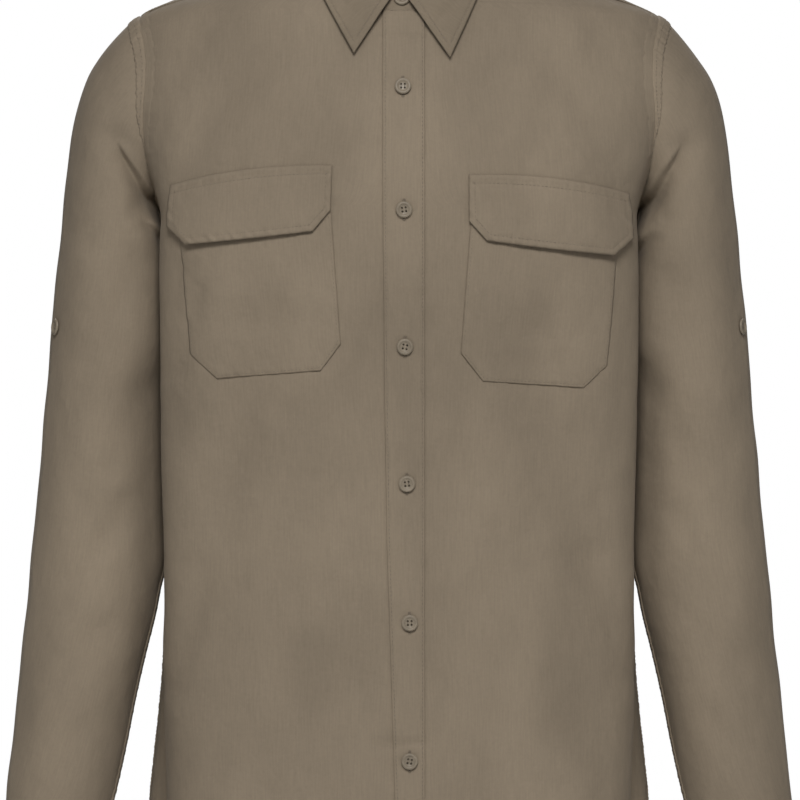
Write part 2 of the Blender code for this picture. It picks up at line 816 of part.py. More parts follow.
def sleeve_grid(side):
    folds = LEFT_FOLDS if side > 0 else RIGHT_FOLDS
    angles = [k * ARM_STEP for k in range(ARM_SIDES)]
    grid = []
    for t in range(len(SLEEVE_RINGS)):
        blend = max(0.0, 1 - t / SLEEVE_BLEND_RINGS) ** 2
        row = []
        for k, angle in enumerate(angles):
            point = plain_sleeve_point(t, angle)
            back = k <= ARM_SIDES // 2
            step = k if back else ARM_SIDES - k
            seam = arm_point(step, not back)
            point = point + (seam - plain_sleeve_point(0, angle)) * blend
            if math.sin(angle) < 0 and t > 0:
                point[1] += hollow(folds, point[0], point[2]) * min(1.0, -math.sin(angle) * 2)
            point[0] += SLEEVE_CLEAR
            row.append((point[0] * side, point[1], point[2]))
        grid.append(row)
    return np.array(grid)


def sleeve(name, side):
    grid = sleeve_grid(side)
    normals = grid_normals(grid, wrap=True) * -side
    return wall(name, grid, CLOTH, wrap=True, normals=normals)


def sleeve_placket(name, side):
    """A narrow strip over two sides of the sleeve's last rings."""
    grid = sleeve_grid(side)
    normals = grid_normals(grid, wrap=True) * -side
    rows = slice(len(SLEEVE_RINGS) - SLEEVE_PLACKET_RINGS, len(SLEEVE_RINGS))
    columns = slice(SLEEVE_PLACKET_SIDE, SLEEVE_PLACKET_SIDE + 3)
    base, ways = pull_back(grid[rows, columns], "last_row", 1.5), normals[rows, columns]
    return wall(name, base + ways * LAYER, CLOTH, normals=ways)


# Cuffs: a strip once round the wrist, one end lapped over the other
def cuff_grid(side):
    lap = CUFF_LAP / ((CUFF_HALF_WIDTH + CUFF_HALF_DEPTH) / 2)
    start = math.radians(CUFF_LAP_ANGLE)
    grid = []
    for drop in (0.0, 0.06, 0.94, 1.0):
        row = []
        for i in range(CUFF_COLUMNS + 1):
            share = i / CUFF_COLUMNS
            angle = start + share * (2 * math.pi + lap)
            proud = (BAND + SEAM_GAP) * ease((share - 0.6) / 0.25)
            across = (CUFF_HALF_WIDTH + proud) * math.cos(angle)
            deep = (CUFF_HALF_DEPTH + proud) * math.sin(angle)
            x = CUFF_CENTRE[0] + SLEEVE_CLEAR + across + CUFF_DRIFT[0] * drop
            y = CUFF_CENTRE[1] + deep + CUFF_DRIFT[1] * drop
            row.append((x * side, y, CUFF_CENTRE[2] - CUFF_HEIGHT * drop))
        grid.append(row)
    return np.array(grid)


def cuff(name, side):
    grid = cuff_grid(side)
    return wall(name, grid, BAND, normals=grid_normals(grid) * -side)


# Collar
def stand_rise(angle):
    """The stand's height: lower at the front than at the back."""
    share = (1 - math.cos(angle)) / 2
    return STAND_FRONT + (STAND_BACK - STAND_FRONT) * share


def stand_point(angle, share, proud):
    """A point of the stand's outer side; share runs from its seam to its top edge."""
    foot = neck_point(angle)
    centre = np.array([0, (NECK_BACK_Y + NECK_FRONT_Y) / 2, 0])
    away = foot - centre
    away[2] = 0
    away = away / np.linalg.norm(away)
    top = foot + np.array([0, 0, stand_rise(angle)]) - away * STAND_LEAN
    low = foot + np.array([0, 0, STAND_SEAT]) - away * SEAM_GAP
    return low + (top - low) * share + away * proud


def stand_grid():
    under = STAND_LAP_UNDER / NECK_HALF_WIDTH
    over = STAND_LAP_OVER / NECK_HALF_WIDTH
    total = 2 * math.pi + under + over
    grid = []
    for share in (1.0, 0.5, 0.0):
        row = []
        for i in range(STAND_COLUMNS + 1):
            step = i / STAND_COLUMNS
            angle = under - total * step
            proud = (CLOTH + SEAM_GAP) * ease((step - 0.72) / 0.2)
            row.append(stand_point(angle, share, proud))
        grid.append(row)
    return np.array(grid)


def collar_stand():
    grid = stand_grid()
    return wall("collar_stand", grid, CLOTH, normals=grid_normals(grid))


def clear_of_torso(spot, gap):
    """Moves a point out until it is at least gap over the shoulders and chest."""
    centre = np.array([spot[0] * 0.75, 0.0, -110.0])
    surface = on_torso(spot)
    way = surface - centre
    reach = np.linalg.norm(way)
    if np.linalg.norm(spot - centre) > reach + gap:
        return spot
    return surface + way / reach * gap


def leaf_edge(share, side):
    """The fall's outer edge, from the front point to the middle of the back."""
    keys = [row[0] for row in LEAF_EDGE]
    spot = np.array([np.interp(share, keys, [row[k] for row in LEAF_EDGE]) for k in (1, 2, 3)])
    fade = max(0.0, 1 - share / 0.3)
    shift = LEAF_TIP_SHIFT[side]
    return np.array([spot[0] * side + shift[0] * fade, spot[1], spot[2] + shift[1] * fade])


def leaf_point(share, side, down):
    """A point of the fall: down is 0 at the roll and 1 at the outer edge."""
    angle = LEAF_START + (math.pi - LEAF_START) * share
    roll = stand_point(angle * side, 1.0, 1.4) + np.array([0, 0, 2.6])
    edge = leaf_edge(share, side)
    away = roll * np.array([1, 1, 0]) - np.array([0, (NECK_BACK_Y + NECK_FRONT_Y) / 2, 0])
    away = away / np.linalg.norm(away)
    front = max(0.0, 1 - share / LEAF_FRONT_SHARE)
    bend = roll + away * (15 + 3 * front) + np.array([0, 0, 7.0 - 5.0 * front])
    bend = bend + (edge - roll) * (0.2 + 0.1 * front)
    spot = (1 - down) ** 2 * roll + 2 * down * (1 - down) * bend + down**2 * edge
    return clear_of_torso(spot, LEAF_CLEAR)


def leaf_grid():
    grid = []
    for down in np.linspace(0, 1, LEAF_ROWS) ** 1.3:
        row = [leaf_point(s, -1, down) for s in np.linspace(0, 1, LEAF_COLUMNS)]
        row += [leaf_point(s, 1, down) for s in np.linspace(1, 0, LEAF_COLUMNS)][1:]
        grid.append(row)
    return np.array(grid)


def collar_leaf():
    grid = leaf_grid()
    return wall("collar_leaf", grid, LEAF_WALL, normals=grid_normals(grid))


# Buttons
def button(name, spot, way):
    """A turned button whose back is at spot and whose face looks along way."""
    way = np.array(way, float) / np.linalg.norm(way)
    side = np.cross(way, (0, 0, 1))
    side = side / np.linalg.norm(side)
    up = np.cross(side, way)
    points = [np.array(spot, float) + way * BUTTON_PROFILE[0][1]]
    rings = BUTTON_PROFILE[1:-1]
    for radius, height in rings:
        for k in range(BUTTON_SIDES):
            turn = 2 * math.pi * k / BUTTON_SIDES
            flat = side * math.cos(turn) + up * math.sin(turn)
            points.append(spot + flat * radius + way * height)
    points.append(np.array(spot, float) + way * BUTTON_PROFILE[-1][1])
    faces = []
    top = len(points) - 1
    base = 1 + (len(rings) - 1) * BUTTON_SIDES
    for k in range(BUTTON_SIDES):
        after = (k + 1) % BUTTON_SIDES
        faces.append((0, 1 + after, 1 + k))
        faces.append((top, base + k, base + after))
        for r in range(len(rings) - 1):
            a = 1 + r * BUTTON_SIDES
            b = a + BUTTON_SIDES
            faces.append((a + k, a + after, b + after, b + k))
    return add_object(name, [tuple(p) for p in points], faces, BUTTON_COLOUR, 0.45)


def front_point(x, z, lift):
    """A point over the body front and the way out from it."""
    spots = []
    for dx, dz in ((0, 0), (4, 0), (0, 4)):
        depth = side_depth(level(z + dz), x + dx, True)
        spots.append(np.array(settle(x + dx, depth, z + dz)))
    way = np.cross(spots[1] - spots[0], spots[2] - spots[0])
    way = way / np.linalg.norm(way)
    return spots[0] + way * lift, way


def front_buttons():
    for i, (x, z) in enumerate(BUTTON_PLACES):
        spot, way = front_point(x, z, LAYER + BUTTON_LIFT)
        button(f"front_button_{i + 1}", spot, way)


def collar_button():
    share = STAND_BUTTON_RISE / STAND_FRONT
    low = stand_point(0.03, share - 0.1, LAYER)
    high = stand_point(0.03, share + 0.1, LAYER)
    way = np.cross((1, 0, 0), high - low)
    way = way / np.linalg.norm(way)
    spot = stand_point(0.03, share, LAYER + BUTTON_LIFT)
    return button("collar_button", spot, way)


def sleeve_button(name, side):
    angle = math.radians(SLEEVE_BUTTON_ANGLE)
    t = SLEEVE_BUTTON_RING
    spot = plain_sleeve_point(t, angle)
    across = plain_sleeve_point(t, angle + 0.02) - plain_sleeve_point(t, angle - 0.02)
    down = plain_sleeve_point(t + 0.2, angle) - plain_sleeve_point(t - 0.2, angle)
    way = np.cross(down, across)
    way = way / np.linalg.norm(way)
    if way[0] < 0:
        way = -way
    spot = spot + way * BUTTON_LIFT + np.array([SLEEVE_CLEAR, 0, 0])
    mirror = np.array([side, 1, 1])
    return button(name, spot * mirror, way * mirror)


def cuff_button(name, side):
    """On the lapped end of the cuff."""
    grid = cuff_grid(side)
    normals = grid_normals(grid) * -side
    column = CUFF_COLUMNS - 1
    spot = (grid[1, column] + grid[2, column]) / 2
    way = normals[1, column] + normals[2, column]
    way = way / np.linalg.norm(way)
    return button(name, spot + way * BUTTON_LIFT, way)


def build():
    for thing in list(bpy.data.objects):
        bpy.data.objects.remove(thing, do_unlink=True)
    front_panel("front_right", -1)
    front_panel("front_left", 1)
    back_panel()
    yoke()
    placket()
    collar_stand()
    collar_leaf()
    collar_button()
    front_buttons()
    for word, side in (("right", -1), ("left", 1)):
        pocket(f"pocket_{word}", side)
        flap(f"flap_{word}", side)
        sleeve(f"sleeve_{word}", side)
        sleeve_placket(f"sleeve_placket_{word}", side)
        cuff(f"cuff_{word}", side)
        sleeve_button(f"sleeve_button_{word}", side)
        cuff_button(f"cuff_button_{word}", side)


build()
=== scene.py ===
# %% [markdown]
# # Dressing a safari shirt
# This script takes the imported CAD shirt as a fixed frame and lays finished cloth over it. The shirt is
# filled out as if someone wore it, so every panel follows one smooth body form. We repeat that form
# here as a few formulas, sample it finely, and add what a sewing room adds: creases, puckers, doubled
# edges, lines of stitches, buttonholes and buttons. Lengths are in millimetres until a mesh is made.

import json
import math

import bpy
import numpy as np
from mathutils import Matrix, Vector
from mathutils.bvhtree import BVHTree

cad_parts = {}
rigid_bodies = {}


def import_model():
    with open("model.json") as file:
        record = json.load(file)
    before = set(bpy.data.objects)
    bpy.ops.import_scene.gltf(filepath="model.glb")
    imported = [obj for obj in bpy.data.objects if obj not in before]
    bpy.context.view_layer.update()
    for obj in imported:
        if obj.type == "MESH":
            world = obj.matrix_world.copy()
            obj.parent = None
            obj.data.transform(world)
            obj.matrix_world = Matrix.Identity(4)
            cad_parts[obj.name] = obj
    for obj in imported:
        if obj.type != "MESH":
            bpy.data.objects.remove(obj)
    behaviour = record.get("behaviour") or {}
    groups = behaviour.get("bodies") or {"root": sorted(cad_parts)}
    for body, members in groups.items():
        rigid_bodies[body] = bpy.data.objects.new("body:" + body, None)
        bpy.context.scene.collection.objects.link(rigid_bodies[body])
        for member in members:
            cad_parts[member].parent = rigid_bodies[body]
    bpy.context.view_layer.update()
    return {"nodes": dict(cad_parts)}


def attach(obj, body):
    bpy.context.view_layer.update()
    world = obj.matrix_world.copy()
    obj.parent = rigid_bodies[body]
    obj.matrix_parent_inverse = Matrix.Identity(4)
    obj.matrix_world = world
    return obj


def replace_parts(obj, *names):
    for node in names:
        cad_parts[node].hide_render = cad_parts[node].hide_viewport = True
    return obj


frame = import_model()
print("CAD nodes:", len(frame["nodes"]))

# %% [markdown]
# ## The body as a table of level sections
# A tailor's dummy can be described by a handful of level cuts. Each row gives the height, the half
# width, how far the front and the back stand out, and two powers that say how square the cut is. A
# cubic curve through the rows fills in the heights between, and a fine table of it makes look-ups fast.

# %% The level sections
TORSO_ROWS = (
    (22, 60, 52, 57, 2.2, 2.2),
    (14, 68, 62, 64, 2.2, 2.2),
    (0, 79, 71, 74, 2.2, 2.2),
    (-12, 104, 80, 85, 2.2, 2.2),
    (-25, 142, 90, 95, 2.2, 2.2),
    (-38, 173, 98, 103, 2.2, 2.2),
    (-51, 199, 104, 109, 2.3, 2.3),
    (-62, 205, 108, 113, 2.5, 2.4),
    (-80, 206, 112, 117, 2.9, 2.5),
    (-105, 205, 117, 120, 3.4, 2.7),
    (-140, 201, 123, 122, 4.2, 2.9),
    (-170, 194, 126, 122, 5.0, 3.0),
    (-205, 184, 127, 120, 5.8, 3.1),
    (-260, 183, 125, 116, 5.8, 3.1),
    (-330, 182.5, 121, 110, 5.8, 3.1),
    (-400, 181.5, 118, 106, 5.8, 3.1),
    (-480, 180.5, 118, 108, 5.6, 3.1),
    (-560, 184, 121, 113, 5.4, 3.1),
    (-660, 194, 126, 119, 5.0, 3.1),
    (-790, 205, 130, 124, 4.6, 3.1),
)
CROWN = 30.0
TABLE_STEP = 0.5
TORSO_TOP = 22.0
TORSO_END = -790.0


# %% Reading the table

def smooth_rows(rows, key):
    """The rows' values at each key, by a cubic through the rows, which run down in column 0."""
    table = np.array(rows, float)
    keys = table[:, 0]
    slopes = np.gradient(table, keys, axis=0)
    key = np.clip(key, keys.min(), keys.max())
    i = np.clip(np.searchsorted(-keys, -key), 1, len(keys) - 1)
    span = (keys[i] - keys[i - 1])[:, None]
    t = (key - keys[i - 1])[:, None] / span
    start, end = table[i - 1], table[i]
    return (
        start * (2 * t**3 - 3 * t**2 + 1)
        + slopes[i - 1] * span * (t**3 - 2 * t**2 + t)
        + end * (3 * t**2 - 2 * t**3)
        + slopes[i] * span * (t**3 - t**2)
    )


LEVELS = smooth_rows(TORSO_ROWS, np.arange(TORSO_TOP, TORSO_END - TABLE_STEP, -TABLE_STEP))


def level(z):
    """The section's sizes at each height z, read from the fine table."""
    spot = np.clip((TORSO_TOP - np.asarray(z, float)) / TABLE_STEP, 0, len(LEVELS) - 1.001)
    i = np.floor(spot).astype(int)
    part = (spot - i)[..., None]
    return LEVELS[i] * (1 - part) + LEVELS[i + 1] * part


def side_depth(x, z, front):
    """The plain form's y at x and z; the front is negative."""
    sizes = level(z)
    share = np.minimum(np.abs(x) / sizes[..., 1], 1.0)
    power = sizes[..., 4] if front else sizes[..., 5]
    reach = (sizes[..., 2] if front else sizes[..., 3]) - CROWN * share**2
    depth = reach * (1 - share**power) ** (1 / power)
    return -depth if front else depth


print("fine levels:", len(LEVELS), "widest", round(2 * float(LEVELS[:, 1].max())), "mm")

# %% [markdown]
# ## Soft hollows
# Cloth on a body is never a clean barrel. Below each chest pocket it falls in, and low on the sides the
# front lobe steps back from the sleeve with a groove behind it. Each hollow is a round-ended trough
# along a line, so one short row describes it. The same helper later draws every small crease.

# %% Hollows and the side groove
FRONT_HOLLOWS = (
    (-96, -300, -160, -470, 34, 5.0),
    (96, -300, 160, -480, 34, 5.0),
    (-150, -520, -120, -700, 30, 3.0),
    (150, -500, 130, -690, 30, 3.0),
)
BACK_HOLLOWS = (
    (-70, -170, -120, -430, 36, 4.0),
    (74, -180, 116, -440, 36, 4.0),
    (-20, -420, 10, -650, 34, 3.5),
)
HOLLOW_FADE = 70.0
LOBE_TOP = -530.0
LOBE_BOTTOM = -700.0
LOBE_STEP = 17.0
LOBE_REACH = 36.0
GROOVE_Y = -24.0
GROOVE_HALF = 11.0
GROOVE_DEPTH = 9.0


def ease(t):
    """A smooth step from 0 to 1 as t goes from 0 to 1."""
    t = np.clip(t, 0.0, 1.0)
    return t * t * (3 - 2 * t)


def troughs(rows, x, z):
    """The summed height of round-ended lines: x0, z0, x1, z1, half width, height."""
    total = np.zeros(np.broadcast(x, z).shape)
    for x0, z0, x1, z1, half, height in rows:
        dx, dz = x1 - x0, z1 - z0
        t = np.clip(((x - x0) * dx + (z - z0) * dz) / (dx * dx + dz * dz), 0, 1)
        gap = np.hypot(x - x0 - t * dx, z - z0 - t * dz)
        total = total + height * np.exp(-((gap / half) ** 2))
    return total


def settle(x, y, z):
    """Points of the body: the plain form with its hollows and the side groove."""
    y = y + troughs(FRONT_HOLLOWS, x, z) * ease(-y / HOLLOW_FADE)
    y = y - troughs(BACK_HOLLOWS, x, z) * ease(y / HOLLOW_FADE)
    low = ease((LOBE_TOP - z) / (LOBE_TOP - LOBE_BOTTOM))
    side = ease((np.abs(x) - 120) / 50)
    step = LOBE_STEP * low * ease(-y / LOBE_REACH)
    groove = GROOVE_DEPTH * ease(low * 4) * np.exp(-(((y - GROOVE_Y) / GROOVE_HALF) ** 2))
    return np.stack(np.broadcast_arrays(x - np.sign(x) * (step + groove) * side, y, z), axis=-1)


# %% [markdown]
# ## Neckline and armhole
# The neckline is an ellipse seen from above and the armhole an oval seen from the side. A section object
# measures along the cloth from the centre line, so we can ask where a level meets either of them. The
# panels, the yoke and the sleeves all read the same edges, and that is why their seams meet.

# %% Edges on the form
CLOTH = 1.2
SEAM_GAP = 0.3
LAYER = CLOTH + SEAM_GAP
NECK_HALF_WIDTH = 76.0
NECK_BACK_Y = 64.0
NECK_FRONT_Y = -106.0
NECK_CENTRE_Y = (NECK_BACK_Y + NECK_FRONT_Y) / 2
NECK_HALF_DEPTH = (NECK_BACK_Y - NECK_FRONT_Y) / 2
ARM_TOP = -51.0
ARM_BOTTOM = -205.0
ARM_FRONT = 60.0
ARM_BACK = 55.0
ARM_STEP = 2 * math.pi / 24


# %% A level section
class Section:
    """Half a level section, from the centre line to the side, measured along the cloth."""

    def __init__(self, z, front):
        self.z = z
        self.front = front
        sizes = level(z)
        power = sizes[4] if front else sizes[5]
        turn = np.linspace(0, math.pi / 2, 321)
        self.x = sizes[1] * np.sin(turn) ** min(1.0, 3.2 / power)
        self.y = side_depth(self.x, z, front)
        self.run = np.concatenate(([0], np.cumsum(np.hypot(np.diff(self.x), np.diff(self.y)))))

    def at(self, s):
        """The plain form's x and y at s."""
        s = np.asarray(s, float)
        x = np.interp(np.abs(s), self.run, self.x) * np.where(s >= 0, 1, -1)
        return x, np.interp(np.abs(s), self.run, self.y)

    def run_where(self, values):
        """The first place from the centre line where the values turn positive."""
        turns = np.flatnonzero((values[1:] >= 0) & (values[:-1] < 0))
        if len(turns) == 0:
            return self.run[-1]
        i = turns[0]
        share = values[i] / (values[i] - values[i + 1])
        return self.run[i] + share * (self.run[i + 1] - self.run[i])

    def run_at_x(self, x):
        """How far along the cloth x lies."""
        return math.copysign(float(np.interp(abs(x), self.x, self.run)), x)

    def points(self, s, z=None):
        """Settled points at s, or at another height z with this level's x and y."""
        x, y = self.at(s)
        return settle(x, y, np.full(x.shape, self.z) if z is None else z)


# %% Where the edges run
def neck_offset(x, y):
    """Below zero inside the neckline, seen from above."""
    return (x / NECK_HALF_WIDTH) ** 2 + ((y - NECK_CENTRE_Y) / NECK_HALF_DEPTH) ** 2 - 1


def arm_z(step):
    """The armhole's height; step is 0 at its top and 12 at its bottom."""
    return (ARM_TOP + ARM_BOTTOM) / 2 + (ARM_TOP - ARM_BOTTOM) / 2 * math.cos(step * ARM_STEP)


def arm_run(section):
    """Where a level section meets the armhole."""
    middle, half = (ARM_TOP + ARM_BOTTOM) / 2, (ARM_TOP - ARM_BOTTOM) / 2
    share = math.sqrt(max(0.0, 1 - ((section.z - middle) / half) ** 2))
    if section.front:
        return section.run_where(section.y + ARM_FRONT * share)
    return section.run_where(ARM_BACK * share - section.y)


def arm_point(step, front):
    """A point of the armhole, on the wearer's left."""
    section = Section(arm_z(step), front)
    return section.points(arm_run(section))


print("armhole front to back:", round(arm_point(6, False)[1] - arm_point(6, True)[1]), "mm")

# %% [markdown]
# ## From a grid of points to a sheet of cloth
# Every piece is a grid: rows go down the cloth and columns across it. We turn the grid into a mesh, give
# it a UV map in metres so that the weave has one true size everywhere, and let a Solidify modifier give
# it the thickness of cotton. The Piece object keeps the grid, since stitches are laid on it later.

# %% Grid helpers
MM = 0.001
TINY = 1e-9


def ways_out(grid, wrap=False):
    """Unit normals of a grid, from its neighbours."""
    if wrap:
        across = np.roll(grid, -1, axis=1) - np.roll(grid, 1, axis=1)
    else:
        across = np.gradient(grid, axis=1)
    ways = np.cross(across, np.gradient(grid, axis=0))
    return ways / np.maximum(np.linalg.norm(ways, axis=2, keepdims=True), TINY)


def facing(ways, grid, centre):
    """Turns all normals over if on the whole they face the centre."""
    return ways if np.sum(ways * (grid - centre)) > 0 else -ways


def grid_faces(rows, columns, wrap):
    """The four-cornered faces of a grid, closed round its columns if wrapped."""
    r = np.arange(rows - 1)[:, None]
    c = np.arange(columns if wrap else columns - 1)[None, :]
    after = (c + 1) % columns
    corners = (r * columns + c, r * columns + after, (r + 1) * columns + after, (r + 1) * columns + c)
    return np.stack(np.broadcast_arrays(*corners), axis=-1).reshape(-1, 4)


def run_along(points):
    """Distances along a line of points."""
    return np.concatenate(([0], np.cumsum(np.linalg.norm(np.diff(points, axis=0), axis=1))))


def runs_across(grid):
    """Distances across a grid from its first column."""
    steps = np.linalg.norm(np.diff(grid, axis=1), axis=2)
    return np.concatenate((np.zeros((grid.shape[0], 1)), np.cumsum(steps, axis=1)), axis=1)


def runs_down(grid):
    """Distances down a grid from its first row."""
    steps = np.linalg.norm(np.diff(grid, axis=0), axis=2)
    return np.concatenate((np.zeros((1, grid.shape[1])), np.cumsum(steps, axis=0)), axis=0)


def cloth_runs(grid):
    """Distances across and down the cloth at each point, for the UV map."""
    u, v = runs_across(grid), runs_down(grid)
    return np.stack((u - u.mean(axis=1, keepdims=True), v), axis=-1)


# %% From points to an object
def new_object(name, points, faces, material, uv=None):
    """An object from points in millimetres, on the shirt's one body."""
    mesh = bpy.data.meshes.new(name)
    mesh.from_pydata((np.asarray(points) * MM).tolist(), [], [list(map(int, f)) for f in faces])
    if uv is not None:
        layer = mesh.uv_layers.new(name="cloth")
        index = np.zeros(len(mesh.loops), int)
        mesh.loops.foreach_get("vertex_index", index)
        layer.data.foreach_set("uv", (uv.reshape(-1, 2)[index] * MM).ravel())
    mesh.shade_smooth()
    mesh.materials.append(material)
    thing = bpy.data.objects.new(name, mesh)
    bpy.context.collection.objects.link(thing)
    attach(thing, "root")
    return thing


# %% A piece of cloth
class Piece:
    """A grid of cloth with its ways out, and the object made from it."""

    def __init__(self, grid, ways=None, wrap=False, centre=(0, 0, -350)):
        self.grid = np.asarray(grid, float)
        self.wrap = wrap
        ways = ways_out(self.grid, wrap) if ways is None else ways
        self.ways = facing(ways, self.grid, np.array(centre, float))
        self.thing = None

    def moved(self, height):
        """The same cloth moved out by a height for each point."""
        grid = self.grid + self.ways * np.broadcast_to(height, self.grid.shape[:2])[..., None]
        inside = self.grid.mean(axis=(0, 1)) - self.ways.mean(axis=(0, 1)) * 500
        return Piece(grid, wrap=self.wrap, centre=inside)

    def make(self, name, material, thickness=0.8, slot="cloth"):
        """The object, with the cloth's thickness in millimetres on its inner side."""
        rows, columns, _ = self.grid.shape
        faces = grid_faces(rows, columns, self.wrap)
        a, b, d = (self.grid.reshape(-1, 3)[faces[:, k]] for k in (0, 1, 3))
        middle = self.ways.reshape(-1, 3)[faces[:, 0]]
        if np.sum(np.cross(b - a, d - a) * middle) < 0:
            faces = faces[:, ::-1]
        self.thing = new_object(name, self.grid.reshape(-1, 3), faces, material, cloth_runs(self.grid))
        if thickness:
            solid = self.thing.modifiers.new("cotton", "SOLIDIFY")
            solid.thickness = thickness * MM
            solid.offset = -1
        return self.thing

    def at(self, rows, columns):
        """Points and ways out at fractional rows and columns."""
        rows, columns = np.broadcast_arrays(np.asarray(rows, float), np.asarray(columns, float))
        r = np.clip(np.floor(rows).astype(int), 0, self.grid.shape[0] - 2)
        c = np.clip(np.floor(columns).astype(int), 0, self.grid.shape[1] - 2)
        p, q = (rows - r)[:, None], (columns - c)[:, None]
        spots = []
        for field in (self.grid, self.ways):
            top = field[r, c] * (1 - q) + field[r, c + 1] * q
            low = field[r + 1, c] * (1 - q) + field[r + 1, c + 1] * q
            spots.append(top * (1 - p) + low * p)
        ways = spots[1] / np.maximum(np.linalg.norm(spots[1], axis=1, keepdims=True), TINY)
        return spots[0], ways

    def line_down(self, distance, side):
        """A line that keeps its distance from the first or the last column."""
        runs = runs_across(self.grid)
        keys = np.arange(self.grid.shape[1])
        goal = [distance if side == "first" else run[-1] - distance for run in runs]
        columns = [np.interp(g, run, keys) for g, run in zip(goal, runs)]
        return self.at(np.arange(self.grid.shape[0]), columns)

    def line_across(self, distance, side):
        """A line that keeps its distance from the first or the last row."""
        runs = runs_down(self.grid)
        keys = np.arange(self.grid.shape[0])
        goal = [distance if side == "first" else run[-1] - distance for run in runs.T]
        rows = [np.interp(g, run, keys) for g, run in zip(goal, runs.T)]
        return self.at(rows, np.arange(self.grid.shape[1]))


# %% Uneven waves
def wobble(t, seed=0.0):
    """An uneven wave between about -1 and 1; its waves are 6 to 15 mm long."""
    waves = np.sin(t * 0.71 + seed) + 0.7 * np.sin(t * 0.43 + 2.1 * seed + 1)
    waves = waves + 0.5 * np.sin(t * 1.13 + 0.7 * seed)
    return waves / 2.2


def sway(t, seed=0.0):
    """A slow uneven wave, 60 to 100 mm long."""
    return (np.sin(t * 0.062 + seed) + 0.6 * np.sin(t * 0.101 + 1.7 * seed + 2)) / 1.6


# %% [markdown]
# ## Cotton poplin, thread and resin
# Poplin is a plain weave: warp and weft cross under and over. Two wave textures at the real thread pitch
# make that relief, and a stretched noise gives the slubs of uneven yarn. A slow noise, stretched upright,
# gives cloudy tone in the colour: partly the faint tone of a washed garment, and partly painted shade that
# stands in for the broad drape valleys. The finish is almost matt, with a trace of sheen from the fibre
# ends.

# %% Material helpers
BODY_COLOUR = (0.258, 0.207, 0.149)
COLLAR_COLOUR = (0.230, 0.184, 0.131)
THREAD_COLOUR = (0.190, 0.152, 0.110)
BUTTON_COLOUR = (0.250, 0.208, 0.155)
YARN_PITCH = 0.00055
# Range of the slow colour noise: partly the cloth's own uneven tone, partly painted shade for broad drape
# valleys.
CLOUD_AND_SHADE_TONES = (0.87, 1.10)


def new_shader(name, roughness, sheen):
    """A new material with its nodes, links and main shader."""
    material = bpy.data.materials.new(name)
    material.use_nodes = True
    nodes = material.node_tree.nodes
    shader = nodes["Principled BSDF"]
    shader.inputs["Roughness"].default_value = roughness
    shader.inputs["Specular IOR Level"].default_value = 0.22
    shader.inputs["Sheen Weight"].default_value = sheen
    shader.inputs["Sheen Roughness"].default_value = 0.45
    return material, nodes, material.node_tree.links, shader


def noise(nodes, links, place, scale, detail, stretch=(1, 1, 1)):
    """A noise of so many features to the metre, stretched as asked."""
    fit = nodes.new("ShaderNodeMapping")
    fit.inputs["Scale"].default_value = stretch
    texture = nodes.new("ShaderNodeTexNoise")
    texture.inputs["Scale"].default_value = scale
    texture.inputs["Detail"].default_value = detail
    links.new(place, fit.inputs["Vector"])
    links.new(fit.outputs["Vector"], texture.inputs["Vector"])
    return texture.outputs["Fac"]


def spread(nodes, links, value, low, high):
    """Maps a noise's middle range to the range from low to high."""
    fit = nodes.new("ShaderNodeMapRange")
    fit.inputs["From Min"].default_value = 0.3
    fit.inputs["From Max"].default_value = 0.7
    fit.inputs["To Min"].default_value = low
    fit.inputs["To Max"].default_value = high
    links.new(value, fit.inputs["Value"])
    return fit.outputs["Result"]


def product(nodes, links, a, b):
    """One value times the other."""
    maths = nodes.new("ShaderNodeMath")
    maths.operation = "MULTIPLY"
    links.new(a, maths.inputs[0])
    links.new(b, maths.inputs[1])
    return maths.outputs["Value"]


def yarns(nodes, links, place, direction):
    """One set of parallel yarns as a wave texture."""
    wave = nodes.new("ShaderNodeTexWave")
    wave.bands_direction = direction
    wave.inputs["Scale"].default_value = 2 * math.pi / (20 * YARN_PITCH)
    wave.inputs["Distortion"].default_value = 0.6
    wave.inputs["Detail"].default_value = 1.0
    links.new(place, wave.inputs["Vector"])
    return wave.outputs["Fac"]


def bump(nodes, links, height, distance, strength, before=None):
    """A relief, laid over the one before it."""
    node = nodes.new("ShaderNodeBump")
    node.inputs["Strength"].default_value = strength
    node.inputs["Distance"].default_value = distance
    links.new(height, node.inputs["Height"])
    if before is not None:
        links.new(before, node.inputs["Normal"])
    return node.outputs["Normal"]


def tinted(nodes, links, colour, factor):
    """The colour times a factor."""
    scale = nodes.new("ShaderNodeVectorMath")
    scale.operation = "SCALE"
    scale.inputs[0].default_value = colour
    links.new(factor, scale.inputs["Scale"])
    return scale.outputs["Vector"]


